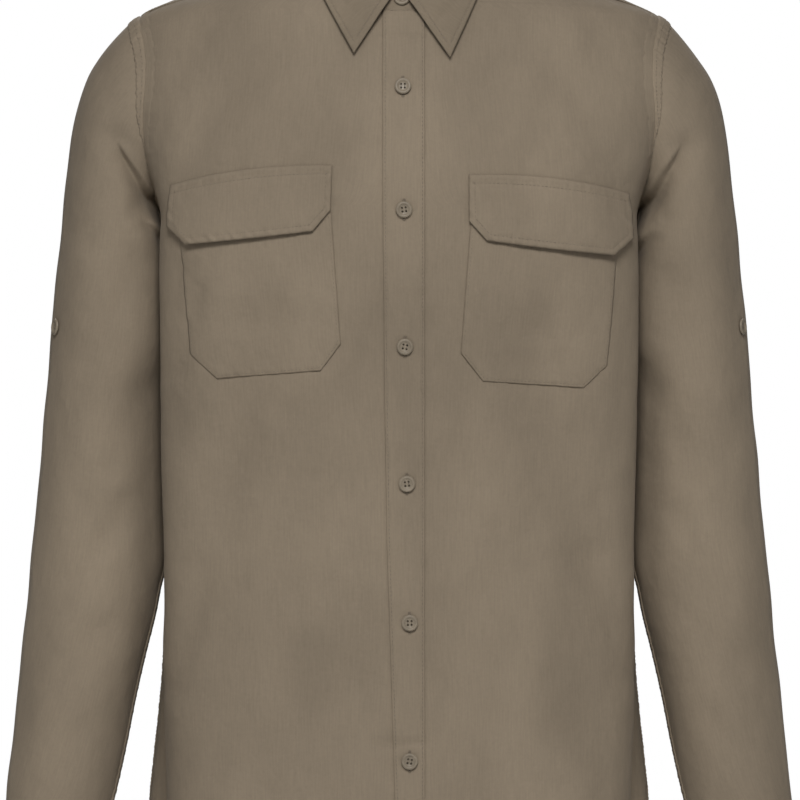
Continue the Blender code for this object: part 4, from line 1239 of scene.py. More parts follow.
def pocket_height(side, x, z):
    """The pocket's outer side over the front."""
    outline = POCKET_OUTLINE[side]
    gap = outline_gap(outline, x, z)
    belly = 1.5 * ease(gap / 32) * ease((-z - 215) / 60)
    edge = -0.8 * np.exp(-((gap / 0.9) ** 2)) - 0.3 * np.exp(-(((gap - POCKET_STITCH) / 0.9) ** 2))
    pucker = 0.35 * wobble(x * 0.75 + z * 0.7, 4.0 + side) * np.exp(-gap / 5)
    return POCKET_LIFT + belly + edge + pucker + 0.35 * sway(x * 1.5 - z, side)


def pocket_piece(side):
    """A patch pocket."""
    flat = six_corner_grid(POCKET_OUTLINE[side], 96, 80)
    x, z = flat[..., 0], flat[..., 1]
    return Piece(*on_front(x, z, pocket_height(side, x, z)))


pockets = {side: pocket_piece(side) for side in (-1, 1)}
for side, piece in pockets.items():
    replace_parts(piece.make(f"pocket_{WORDS[side]}_cloth", POPLIN), f"pocket_{WORDS[side]}")

# %% Flaps
FLAP_RISE = ((0, 0.3), (3, 0.6), (13, 2.2), (30, 3.6), (52, 5.4))
FLAP_STITCH = 4.6
FLAP_TOP_STITCH = 6.5
FLAP_ARCH = 4.3
FLAP_SAG = 1.2


def flap_height(side, x, z):
    """The flap's outer side over the front."""
    outline = FLAP_OUTLINE[side]
    (x0, z0), (x1, z1) = outline[0], outline[1]
    drop = z0 + (z1 - z0) * (x - x0) / (x1 - x0) - z
    rise = np.interp(drop, [row[0] for row in FLAP_RISE], [row[1] for row in FLAP_RISE])
    gap = outline_gap(outline, x, z)
    edge = -0.9 * np.exp(-((gap / 1.0) ** 2)) - 0.35 * np.exp(-(((gap - FLAP_STITCH) / 0.9) ** 2))
    top = -0.45 * np.exp(-(((drop - FLAP_TOP_STITCH) / 1.1) ** 2)) * (gap > 1)
    pucker = 0.6 * wobble(x * 0.95 + z * 0.8, 1.0 + 2 * side) * np.exp(-(((gap - 2.5) / 3.5) ** 2))
    pucker *= ease((drop - 7) / 7)
    pucker += 0.32 * wobble(x * 1.5, 6.0 + side) * np.exp(-(((drop - 3.6) / 2.6) ** 2))
    rise = rise * (0.72 + 0.5 * ease((np.abs(x) - 60) / 90))
    belly = 0.9 * ease(gap / 16) * sway(x * 1.2, 3.0 + side)
    return rise + CLOTH + 0.5 + edge + top + pucker + belly


def flap_arch(side, x, z):
    """The flap's heights with its top edge arched a little and its lower edge sagging."""
    outline = FLAP_OUTLINE[side]
    left, right = outline[0][0], outline[1][0]
    share = np.clip((x - left) / (right - left), 0, 1)
    top = outline[0][1] + (outline[1][1] - outline[0][1]) * share
    down = np.clip((top - z) / 48, 0, 1)
    return z + 4 * share * (1 - share) * (FLAP_ARCH * (1 - down) - FLAP_SAG * down)


def on_flap(side, x, z):
    """Points over the flap."""
    return on_front(x, flap_arch(side, x, z), flap_height(side, x, z))


def flap_piece(side):
    """A pocket flap."""
    flat = six_corner_grid(FLAP_OUTLINE[side], 54, 116)
    return Piece(*on_flap(side, flat[..., 0], flat[..., 1]))


flaps = {side: flap_piece(side) for side in (-1, 1)}
for side, piece in flaps.items():
    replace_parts(piece.make(f"flap_{WORDS[side]}_cloth", POPLIN, 1.4), f"flap_{WORDS[side]}")
    print("pocket and flap", WORDS[side], pockets[side].grid.shape, piece.grid.shape)

# %% [markdown]
# ## Collar
# A shirt collar has two parts. The stand is a short band round the neck, lapped and buttoned in front.
# The fall is the part with points: it starts at the stand's top, rolls over and lies down. We draw it
# with one Bezier curve for each place round the neck, from the roll to the outer edge. A first row on
# the stand's top edge closes the slit between the two.

# %% The stand
STAND_FRONT = 15.0
STAND_BACK = 33.0
STAND_LEAN = 6.0
STAND_SEAT = 0.8
STAND_TUCK = 1.2
STAND_DIP = 4.5
STAND_LAP_UNDER = 13.0
STAND_LAP_OVER = 14.0
STAND_COLUMNS = 180
STAND_ROWS = 25
STAND_STITCH = 2.2


def stand_points(angle, share, proud):
    """Points of the stand's outer side; share runs from its seam to its top edge."""
    foot = neck_point(angle)
    away = foot - np.array([0, NECK_CENTRE_Y, 0])
    away[..., 2] = 0
    away = away / np.linalg.norm(away, axis=-1, keepdims=True)
    rise = STAND_FRONT + (STAND_BACK - STAND_FRONT) * (1 - np.cos(angle)) / 2
    top = foot - away * STAND_LEAN
    top[..., 2] += rise
    dip = np.maximum(0.0, np.cos(angle)) ** 12
    low = foot - away * (SEAM_GAP - 1.6 * dip[..., None])
    low[..., 2] += STAND_SEAT - STAND_TUCK * (1 - dip) - STAND_DIP * dip
    share = np.broadcast_to(share, np.shape(angle))[..., None]
    proud = np.broadcast_to(proud, np.shape(angle))[..., None]
    return low + (top - low) * share + away * proud


def stand_piece():
    """The stand, once round the neck and lapped in front."""
    under = STAND_LAP_UNDER / NECK_HALF_WIDTH
    total = 2 * math.pi + under + STAND_LAP_OVER / NECK_HALF_WIDTH
    steps = np.linspace(0, 1, STAND_COLUMNS)
    angle = under - total * steps
    lap = LAYER * ease((steps - 0.72) / 0.2)
    grid = []
    for share in np.linspace(1, 0, STAND_ROWS):
        gap = min(share, 1 - share) * STAND_FRONT
        ends = np.minimum(steps, 1 - steps) * total * NECK_HALF_WIDTH
        edge = -0.5 * math.exp(-((gap / 0.8) ** 2)) - 0.5 * np.exp(-((ends / 1.0) ** 2))
        groove = -0.25 * math.exp(-(((gap - STAND_STITCH) / 0.8) ** 2))
        grid.append(stand_points(angle, share, lap + edge + groove + 0.15 * wobble(angle * 60, 1.0)))
    return Piece(grid, centre=(0, NECK_CENTRE_Y, -40))


stand = stand_piece()
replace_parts(stand.make("collar_stand_cloth", FUSED_POPLIN, 1.0, "collar_cloth"), "collar_stand")

# %% The fall
LEAF_EDGE = (
    (0.00, 36.8, -111, -91.5),
    (0.10, 47.5, -105, -70),
    (0.21, 59.0, -94, -47),
    (0.34, 74.0, -67, -25),
    (0.48, 88.0, -34, -11),
    (0.60, 93.0, 2, -5),
    (0.72, 85.0, 36, -2),
    (0.84, 60.0, 62, 1),
    (0.93, 29.0, 74, 4),
    (1.00, 0.0, 78, 5),
)
LEAF_TIP_SHIFT = {-1: (3.4, 1.1), 1: (1.1, -2.2)}
LEAF_START = 0.012
LEAF_FRONT_SHARE = 0.2
LEAF_CLEAR = 5.0
LEAF_ROOT = 0.0
LEAF_STITCH = 5.2


def leaf_edge(share, side):
    """The fall's outer edge, from the front point to the middle of the back."""
    rows = np.array(LEAF_EDGE)
    spot = np.stack([np.interp(share, rows[:, 0], rows[:, k]) for k in (1, 2, 3)], axis=-1)
    fade = np.maximum(0.0, 1 - share / 0.3)
    shift = LEAF_TIP_SHIFT[side]
    spot[..., 0] = spot[..., 0] * side + shift[0] * fade
    spot[..., 2] += shift[1] * fade
    return spot


def clear_of_torso(spots, gap, upward):
    """Moves points out until they are at least a gap over the shoulders and chest.

    The last value says how much of the upward part of that move is made.
    """
    centre = core(spots)
    surface = on_torso(spots)
    reach = np.linalg.norm(surface - centre, axis=-1, keepdims=True)
    far = np.linalg.norm(spots - centre, axis=-1, keepdims=True) > reach + gap
    move = surface + (surface - centre) / reach * gap - spots
    move[..., 2] *= upward
    return np.where(far, spots, spots + move)


def leaf_half(side, downs, shares):
    """Half the fall: rows from the roll to the outer edge, columns from the front to the back."""
    angle = (LEAF_START + (math.pi - LEAF_START) * shares) * side
    front = np.maximum(0.0, 1 - shares / LEAF_FRONT_SHARE)[:, None]
    roll = stand_points(angle, 1.0, 1.4) + np.array([0, 0, 1]) * (2.6 - 2.0 * front)
    edge = leaf_edge(shares, side)
    away = roll * np.array([1, 1, 0]) - np.array([0, NECK_CENTRE_Y, 0])
    away = away / np.linalg.norm(away, axis=-1, keepdims=True)
    bend = roll + away * (15 + 3 * front) + np.array([0, 0, 1]) * (7.0 - 5.0 * front)
    bend = bend + (edge - roll) * (0.2 + 0.1 * front)
    down = downs[:, None, None]
    curve = (1 - down) ** 2 * roll + 2 * down * (1 - down) * bend + down**2 * edge
    curve = clear_of_torso(curve, LEAF_CLEAR, 1 - 0.85 * front[:, 0] ** 0.5)
    root = stand_points(angle, 1.0, LEAF_ROOT)
    return np.concatenate((root[None], curve))


def leaf_piece():
    """The fall, from point to point."""
    downs = np.concatenate((np.linspace(0, 0.9, 36) ** 1.2, np.linspace(0.9, 1, 15)[1:]))
    shares = np.concatenate((np.linspace(0, 0.12, 34), np.linspace(0.12, 1, 72)[1:]))
    right = leaf_half(-1, downs, shares)
    left = leaf_half(1, downs, shares[::-1])
    grid = np.concatenate((right, left[:, 1:]), axis=1)
    plain = Piece(grid, centre=(0, NECK_CENTRE_Y, -60))
    run, along = runs_down(grid), runs_across(grid)
    gap = run[-1:] - run
    front_gap = np.minimum(along, along[:, -1:] - along) * 0.8
    gap = np.minimum(gap, front_gap)
    relief = 0.3 - 0.7 * np.exp(-((gap / 0.9) ** 2)) - 0.28 * np.exp(-(((gap - LEAF_STITCH) / 1.0) ** 2))
    relief += 0.18 * wobble(along * 0.8, 2.0) * np.exp(-gap / 4)
    return plain.moved(relief)


leaf = leaf_piece()
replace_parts(leaf.make("collar_leaf_cloth", FUSED_POPLIN, 1.3, "collar_cloth"), "collar_leaf")
print("collar", stand.grid.shape, leaf.grid.shape)

# %% [markdown]
# ## Cuffs and sleeve plackets
# The cuffs lie below the photograph's edge, so they are plain barrel cuffs with one button, and the
# opening above each is finished with a narrow strip. A cuff is one strip of fused cloth, once round the
# wrist with a lap of three centimetres.

# %% Cuffs and strips
BAND = 1.8
CUFF_HEIGHT = 58.0
CUFF_HALF_WIDTH = 40.9
CUFF_HALF_DEPTH = 36.0
CUFF_CENTRE = (262.9, -25.0, -671.3)
CUFF_DRIFT = (6.0, -4.0)
CUFF_LAP_ANGLE = 125.0
CUFF_LAP = 30.0
CUFF_STITCH = 5.0
CUFF_ROWS = 40
CUFF_COLUMNS = 140
STRIP_ROWS = 90
STRIP_COLUMNS = 22
STRIP_STEP = 1.1


def cuff_piece(side):
    """A barrel cuff, once round the wrist with its lap."""
    lap = CUFF_LAP / ((CUFF_HALF_WIDTH + CUFF_HALF_DEPTH) / 2)
    shares = np.linspace(0, 1, CUFF_COLUMNS)
    angle = math.radians(CUFF_LAP_ANGLE) + shares * (2 * math.pi + lap)
    proud = (BAND + SEAM_GAP) * ease((shares - 0.6) / 0.25)
    ends = np.minimum(shares, 1 - shares) * (2 * math.pi + lap) * CUFF_HALF_WIDTH
    grid = []
    for drop in np.linspace(0, 1, CUFF_ROWS):
        gap = np.minimum(min(drop, 1 - drop) * CUFF_HEIGHT, ends)
        edge = -0.7 * np.exp(-((gap / 1.0) ** 2)) - 0.3 * np.exp(-(((gap - CUFF_STITCH) / 0.9) ** 2))
        reach = proud + edge + 0.25 * wobble(angle * 38, 1.0 + side) * np.exp(-gap / 5)
        x = CUFF_CENTRE[0] + SLEEVE_CLEAR + (CUFF_HALF_WIDTH + reach) * np.cos(angle) + CUFF_DRIFT[0] * drop
        y = CUFF_CENTRE[1] + (CUFF_HALF_DEPTH + reach) * np.sin(angle) + CUFF_DRIFT[1] * drop
        grid.append(np.stack((x * side, y, np.full(len(x), CUFF_CENTRE[2] - CUFF_HEIGHT * drop)), axis=-1))
    return Piece(grid, centre=(CUFF_CENTRE[0] * side, CUFF_CENTRE[1], -700))


def strip_piece(side):
    """The strip on a cuff opening: a narrow part of the sleeve, moved out."""
    sleeve = sleeves[side]
    columns = np.linspace(7, 9, STRIP_COLUMNS) / 24 * SLEEVE_COLUMNS
    rows = np.linspace(0.755, 0.997, STRIP_ROWS) * (SLEEVE_ROWS - 1)
    points, ways = sleeve.at(np.repeat(rows, len(columns)), np.tile(columns, len(rows)))
    shape = (STRIP_ROWS, STRIP_COLUMNS, 3)
    points, ways = points.reshape(shape), ways.reshape(shape)
    flat = Piece(points, ways, centre=(CUFF_CENTRE[0] * side, -20, -640))
    across, down = np.arange(STRIP_COLUMNS), np.arange(STRIP_ROWS)
    gap = np.minimum(across, across[::-1]) * STRIP_STEP
    ends = np.minimum(down, down[::-1]) * STRIP_STEP
    return flat.moved(LAYER + turned_edge(np.minimum(gap[None, :], ends[:, None])))


cuffs = {side: cuff_piece(side) for side in (-1, 1)}
strips = {side: strip_piece(side) for side in (-1, 1)}
for side in (-1, 1):
    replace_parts(cuffs[side].make(f"cuff_{WORDS[side]}_cloth", POPLIN, 1.5), f"cuff_{WORDS[side]}")
    strip = strips[side].make(f"sleeve_strip_{WORDS[side]}", POPLIN, 1.0)
    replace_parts(strip, f"sleeve_placket_{WORDS[side]}")
print("cuff", cuffs[1].grid.shape, "strip", strips[1].grid.shape)

# %% [markdown]
# ## Flat-felled seams
# The armholes and the side and underarm seams are flat-felled: one edge is wrapped round the other and
# sewn down, which leaves a flat band of six to twelve millimetres with stitches along it. We sketch each
# band as a rough ribbon and then drop every point onto the nearest cloth below it.

# %% Dropping ribbons onto cloth
FELL_LIFT = 0.85
RIPPLE_PITCH = 1.4
ARM_BAND_LIFT = 0.75
ARM_GROOVE = 4.6
ARM_GAPS = np.linspace(-12.0, 17.0, 38)
ARM_BRIDGE = (-9.0, 7.0)


def tree_of(pieces):
    """A search tree over the faces of some pieces, in millimetres."""
    points, faces, count = [], [], 0
    for piece in pieces:
        rows, columns, _ = piece.grid.shape
        points += piece.grid.reshape(-1, 3).tolist()
        faces += (grid_faces(rows, columns, piece.wrap) + count).tolist()
        count += rows * columns
    return BVHTree.FromPolygons(points, faces)


def drop_on(tree, points, ways):
    """The nearest places on the cloth, with ways out on the side of the given ones."""
    spots, outs = [], []
    for point, way in zip(points.reshape(-1, 3), ways.reshape(-1, 3)):
        near, normal, _, _ = tree.find_nearest(Vector(point))
        normal = np.array(normal) * (1 if np.dot(normal, way) >= 0 else -1)
        spots.append(np.array(near))
        outs.append(normal)
    return np.array(spots).reshape(points.shape), np.array(outs).reshape(points.shape)


def smoothed(field, times=3):
    """Averages each line of a grid with its neighbours along its length."""
    for _ in range(times):
        field = np.concatenate((field[:1], (field[:-2] + 2 * field[1:-1] + field[2:]) / 4, field[-1:]))
    return field


# %% Profiles and ribbons
def fell_profile(gaps):
    """A flat band with two rounded edges."""
    side_gap = np.minimum(gaps - gaps[0], gaps[-1] - gaps)
    return FELL_LIFT - 0.6 * np.exp(-((side_gap / 0.7) ** 2)), np.ones(len(gaps))


def armhole_profile(gaps):
    """Cloth that comes out of the body's, one sewn groove, then the puckered band over the sleeve."""
    rise = ARM_BAND_LIFT * (0.35 + 0.65 * ease((gaps - ARM_GROOVE) / 2))
    rise = rise - 1.0 * (1 - ease((gaps - gaps[0]) / 9))
    groove = -0.4 * np.exp(-(((gaps - ARM_GROOVE) / 0.8) ** 2))
    end = -0.9 * np.exp(-(((gaps[-1] - gaps) / 0.8) ** 2))
    return rise + groove + end, ease((gaps - ARM_GROOVE) / 1.5)


def bridged(spots, gaps, first, last):
    """Replaces the columns between two gaps by a smooth curve, so that a band spans the seam's groove."""
    low, high = np.searchsorted(gaps, first), np.searchsorted(gaps, last)
    size = gaps[high] - gaps[low]
    start = (spots[:, low] - spots[:, low - 2]) / (gaps[low] - gaps[low - 2]) * size * 0.8
    end = (spots[:, high + 2] - spots[:, high]) / (gaps[high + 2] - gaps[high]) * size * 0.8
    start, end = smoothed(start, 8), smoothed(end, 8)
    t = ((gaps[low:high] - gaps[low]) / size)[None, :, None]
    held = (1 + 2 * t) * (1 - t) ** 2 * spots[:, low, None] + t * t * (3 - 2 * t) * spots[:, high, None]
    spots[:, low:high] = held + t * (1 - t) ** 2 * start[:, None] - t * t * (1 - t) * end[:, None]
    return spots


def ribbon(edge, ways, inward, tree, gaps, profile, ripple=0.42, bridge=None):
    """A narrow band beside an edge line, laid on the cloth under it."""
    rough = edge[:, None] + inward[:, None] * gaps[None, :, None]
    outs = np.repeat(ways[:, None], len(gaps), axis=1)
    spots, normals = drop_on(tree, rough, outs)
    spots, normals = smoothed(spots, 2), smoothed(normals, 6)
    if bridge:
        spots, normals = bridged(spots, gaps, *bridge), bridged(normals, gaps, *bridge)
    normals = normals / np.linalg.norm(normals, axis=2, keepdims=True)
    run = run_along(edge)
    slant = run[:, None] + gaps[None, :] * 0.5
    height, rough_share = profile(gaps)
    lift = height + ripple * rough_share * wobble(slant * RIPPLE_PITCH, gaps[-1])
    piece = Piece(spots + normals * lift[..., None], normals, centre=(0, 0, -350))
    piece.ways = normals
    return piece


def armhole_line(side, count=230):
    """The armhole's edge with its ways out and the way out over the sleeve, all round."""
    turns = np.linspace(0, 2 * math.pi, count)
    edge = armhole_loop(turns)
    ways = ways_from_body(edge)
    outward = np.cross(np.gradient(edge, axis=0), ways)
    outward = outward / np.linalg.norm(outward, axis=1, keepdims=True)
    outward[:, 0] = np.abs(outward[:, 0])
    mirror = np.array([side, 1, 1])
    return edge * mirror, ways * mirror, outward * mirror


def ways_from_body(points):
    """Rough ways out of the body at places on its left side."""
    centre = np.stack((0.4 * points[:, 0], 0.2 * points[:, 1], points[:, 2] - 20), axis=-1)
    ways = points - centre
    return ways / np.linalg.norm(ways, axis=1, keepdims=True)


# %% Armhole bands
bands = {}
for side in (-1, 1):
    seam_tree = tree_of([fronts[side], back, yoke, sleeves[side]])
    edge, ways, outward = armhole_line(side)
    bands[side] = ribbon(edge, ways, outward, seam_tree, ARM_GAPS, armhole_profile, 0.6, ARM_BRIDGE)
    bands[side].make(f"armhole_band_{WORDS[side]}", POPLIN, 0.5)
    print("armhole band", WORDS[side], bands[side].grid.shape)


# %% Side, underarm and yoke bands
def side_band(side):
    """Down the side seam from the armpit to the hem."""
    rows = [i for i in range(back.grid.shape[0]) if back.grid[i, -1, 2] < ARM_BOTTOM - 9]
    column = -1 if side > 0 else 0
    edge = back.grid[rows, column]
    ways = back.ways[rows, column]
    inward = np.broadcast_to(np.array([-0.1 * side, 1.0, 0.0]), edge.shape)
    return ribbon(edge, ways, inward, tree_of([back]), np.linspace(0.3, 6.5, 7), fell_profile)


def underarm_band(side):
    """Along the sleeve's inner side, a little to the front, from the armpit to the cuff."""
    rows = np.linspace(11, SLEEVE_ROWS - 4, 300)
    column = SLEEVE_COLUMNS * 0.518
    edge, ways = sleeves[side].at(rows, np.full(300, column))
    ahead, _ = sleeves[side].at(rows, np.full(300, column + 3))
    inward = (ahead - edge) / np.linalg.norm(ahead - edge, axis=1, keepdims=True)
    return ribbon(edge, ways, inward, tree_of([sleeves[side]]), np.linspace(0.3, 7.5, 9), fell_profile)


side_bands = {side: side_band(side) for side in (-1, 1)}
under_bands = {side: underarm_band(side) for side in (-1, 1)}
for side in (-1, 1):
    side_bands[side].make(f"side_seam_{WORDS[side]}", POPLIN, 0.4)
    under_bands[side].make(f"underarm_seam_{WORDS[side]}", POPLIN, 0.4)

# %% [markdown]
# ## Stitches
# A lockstitch shows as a row of short bars with gaps between them. Each bar is a small four-sided lens
# that dips into the cloth at both ends. One mesh holds all the stitches of one piece, about three
# millimetres apart, so the whole shirt needs only a few such objects.

# %% Stitch meshes
STITCH_PITCH = 3.1
STITCH_LENGTH = 2.3
STITCH_HALF = 0.26
STITCH_RISE = 0.24
BAND_STITCH = 1.8
UNDERARM_STITCH = 1.4
SIDE_STITCH = 1.3
YOKE_STITCH = 1.6
HEM_STITCHES = (9, 2)


def stitch_bars(points, ways, pitch=STITCH_PITCH, length=STITCH_LENGTH, half=STITCH_HALF):
    """Vertices of the bars along one line, ten for each."""
    run = run_along(points)
    starts = np.arange(pitch * 0.3, run[-1] - length, pitch)

    def spot(s, field):
        """The field read at the distances s."""
        return np.stack([np.interp(s, run, field[:, k]) for k in range(3)], axis=-1)

    first, last = spot(starts, points), spot(starts + length, points)
    up = spot(starts + length / 2, ways)
    along = last - first
    across = np.cross(along, up)
    across = across / np.maximum(np.linalg.norm(across, axis=1, keepdims=True), TINY) * half
    rings = [first]
    for share in (0.22, 0.78):
        middle = first + along * share
        rings += [middle + across, middle + up * STITCH_RISE, middle - across, middle - up * 0.1]
    rings.append(last)
    return np.stack(rings, axis=1)


BAR_FACES = [(0, 1, 2), (0, 2, 3), (0, 3, 4), (0, 4, 1), (9, 6, 5), (9, 7, 6), (9, 8, 7), (9, 5, 8)]
BAR_FACES += [(1, 5, 6, 2), (2, 6, 7, 3), (3, 7, 8, 4), (4, 8, 5, 1)]


def sew(name, lines):
    """One object with the stitches of several lines, each a pair of points and ways out."""
    bars = np.concatenate([stitch_bars(points, ways) for points, ways in lines])
    faces = [[i * 10 + corner for corner in face] for i in range(len(bars)) for face in BAR_FACES]
    thing = new_object(name, bars.reshape(-1, 3), faces, THREAD)
    return thing


# %% Lines to sew along
def pocket_surface(side, x, z):
    """Points over the pocket."""
    return on_front(x, z, pocket_height(side, x, z))


def outline_line(side, outline, distance, surface, whole=True):
    """Topstitching inside an outline, on the surface that the function gives."""
    corners = inset_outline(outline, distance)
    path = list(corners[1:]) + [corners[0]] + ([corners[1]] if whole else [])
    spots = []
    for a, b in zip(path, path[1:]):
        count = max(int(np.linalg.norm(b - a) / 1.2), 2)
        spots += [a + (b - a) * k / count for k in range(count)]
    spots = np.array(spots + [path[-1]])
    return surface(side, spots[:, 0], spots[:, 1])


def flap_top_line(side):
    """The row of stitches that holds the flap's top."""
    (x0, z0), (x1, z1) = FLAP_OUTLINE[side][0], FLAP_OUTLINE[side][1]
    x = np.linspace(x0 + 1.5, x1 - 1.5, 100)
    z = z0 + (z1 - z0) * (x - x0) / (x1 - x0) - FLAP_TOP_STITCH
    return on_flap(side, x, z)


def leaf_lines():
    """Topstitching along the fall's outer edge and up both front edges, meeting at the points."""
    along = run_along(leaf.grid[-1])
    inside = (along > LEAF_STITCH) & (along[-1] - along > LEAF_STITCH)
    points, ways = leaf.line_across(LEAF_STITCH, "last")
    lines = [(points[inside], ways[inside])]
    for end, column in (("first", 0), ("last", -1)):
        down = np.linalg.norm(np.diff(leaf.grid[:, column], axis=0), axis=1)
        left = down.sum() - np.concatenate(([0], np.cumsum(down)))
        points, ways = leaf.line_down(LEAF_STITCH, end)
        keep = left > LEAF_STITCH * 1.6
        lines.append((points[keep], ways[keep]))
    return lines


# %% Sewing it all
for side in (-1, 1):
    word = WORDS[side]
    flap_lines = [outline_line(side, FLAP_OUTLINE[side], FLAP_STITCH, on_flap, False), flap_top_line(side)]
    sew(f"flap_stitches_{word}", flap_lines)
    pocket_line = outline_line(side, POCKET_OUTLINE[side], POCKET_STITCH, pocket_surface, False)
    sew(f"pocket_stitches_{word}", [pocket_line])
    groove = bands[side].line_down(ARM_GROOVE - ARM_GAPS[0], "first")
    sew(f"armhole_stitches_{word}", [groove, bands[side].line_down(BAND_STITCH, "last")])
    under_lines = [under_bands[side].line_down(UNDERARM_STITCH, end) for end in ("first", "last")]
    sew(f"underarm_stitches_{word}", under_lines)
    side_lines = [side_bands[side].line_down(SIDE_STITCH, end) for end in ("first", "last")]
    sew(f"side_stitches_{word}", side_lines)
    cuff_lines = [cuffs[side].line_across(CUFF_STITCH, end) for end in ("first", "last")]
    cuff_lines += [cuffs[side].line_down(CUFF_STITCH, end) for end in ("first", "last")]
    cuff_lines += [strips[side].line_down(STITCH_INSET, end) for end in ("first", "last")]
    sew(f"cuff_stitches_{word}", cuff_lines)
    front_lines = [fronts[side].line_across(gap, "last") for gap in HEM_STITCHES]
    sew(f"front_hem_stitches_{word}", front_lines)
sew("back_stitches", [back.line_across(gap, "last") for gap in HEM_STITCHES])
sew("yoke_stitches", [yoke.line_across(YOKE_STITCH, end) for end in ("first", "last")])
sew("placket_stitches", [placket.line_down(STITCH_INSET, end) for end in ("last", "first")])
collar_lines = [stand.line_across(STAND_STITCH, end) for end in ("first", "last")]
sew("collar_stitches", collar_lines + leaf_lines())

# %% [markdown]
# ## Buttonholes
# A buttonhole is a slit with close stitches round it. At this size the eye sees a narrow raised oval
# with a dark middle, and most of it is under the button. We build the oval as a ribbed bead that goes
# round the slit once.

# %% Button sizes
BUTTON_PLACES = ((3.0, -116), (3.8, -208.5), (4.5, -311), (6.0, -414), (8.0, -518.5), (8.0, -622))
BUTTON_LIFT = 0.35
HOLE_LENGTH = 16.5
BUTTON_PROFILE = (
    (1.0, 1.15), (2.0, 1.18), (3.0, 1.25), (3.6, 1.5), (4.1, 2.05), (4.7, 2.35), (5.3, 2.35),
    (5.85, 2.05), (6.15, 1.55), (6.25, 1.0), (5.9, 0.45), (5.2, 0.1), (3.5, 0.0),
)
BUTTON_SIDES = 48
BEAD_STEPS = 120
BEAD_SIDES = 8
HOLE_RADIUS = 0.8
HOLE_OFFSET = 1.4


# %% A buttonhole
def local_axes(way, up=(0, 0, 1)):
    """Right, up and out at a place that faces along way."""
    way = np.array(way, float) / np.linalg.norm(way)
    right = np.cross(up, way)
    right = right / np.linalg.norm(right)
    return right, np.cross(way, right), way


def buttonhole(name, spot, way, upright=True):
    """A ribbed oval bead round a slit."""
    right, up, out = local_axes(way)
    if not upright:
        right, up = up, -right
    turns = np.linspace(0, 2 * math.pi, BEAD_STEPS, endpoint=False)
    long_half, short_half = HOLE_LENGTH / 2, 0.75
    flat = np.sign(np.cos(turns)) * np.abs(np.cos(turns)) ** 0.35
    centre = spot + up * (np.sin(turns) * long_half)[:, None] + right * (flat * short_half)[:, None]
    outward = right * np.sign(flat)[:, None]
    bead = np.linspace(0, 2 * math.pi, BEAD_SIDES, endpoint=False)
    size = 0.55 + 0.1 * (np.arange(BEAD_STEPS) % 2)
    grid = [
        centre + outward * (size * math.cos(b))[:, None] + out * (size * 0.6 * math.sin(b) + 0.1)[:, None]
        for b in bead
    ]
    points = np.array(grid).transpose(1, 0, 2)
    faces = []
    for i in range(BEAD_STEPS):
        here, after = i * BEAD_SIDES, (i + 1) % BEAD_STEPS * BEAD_SIDES
        for k in range(BEAD_SIDES):
            turn = (k + 1) % BEAD_SIDES
            faces.append((here + k, after + k, after + turn, here + turn))
    thing = new_object(name, points.reshape(-1, 3), faces, THREAD)
    return thing


# %% A button with four holes
def turned_button():
    """A button mesh at the origin that looks along +Z, with four real holes."""
    points, faces = [], []
    rings = BUTTON_PROFILE
    turns = np.linspace(0, 2 * math.pi, BUTTON_SIDES, endpoint=False)
    for radius, height in rings:
        points += [(radius * math.cos(t), radius * math.sin(t), height) for t in turns]
    for r in range(len(rings) - 1):
        for k in range(BUTTON_SIDES):
            after = (k + 1) % BUTTON_SIDES
            a, b = r * BUTTON_SIDES, (r + 1) * BUTTON_SIDES
            faces.append((a + k, b + k, b + after, a + after))
    faces.append(tuple(range(BUTTON_SIDES)))
    faces.append(tuple((len(rings) - 1) * BUTTON_SIDES + k for k in reversed(range(BUTTON_SIDES))))
    blank = new_object("button_blank", points, faces, RESIN)
    drills = []
    for x in (-HOLE_OFFSET, HOLE_OFFSET):
        for y in (-HOLE_OFFSET, HOLE_OFFSET):
            bpy.ops.mesh.primitive_cylinder_add(vertices=20, radius=HOLE_RADIUS * MM, depth=8 * MM)
            drill = bpy.context.object
            drill.location = (x * MM, y * MM, 0)
            cut = blank.modifiers.new("hole", "BOOLEAN")
            cut.object = drill
            cut.operation = "DIFFERENCE"
            drills.append(drill)
    bpy.context.view_layer.update()
    shape = bpy.data.meshes.new_from_object(blank.evaluated_get(bpy.context.evaluated_depsgraph_get()))
    shape.name = "four_hole_button"
    for thing in [blank] + drills:
        bpy.data.objects.remove(thing, do_unlink=True)
    shape.shade_smooth()
    shape.set_sharp_from_angle(angle=math.radians(38))
    return shape


BUTTON_MESH = turned_button()
print("button faces:", len(BUTTON_MESH.polygons))


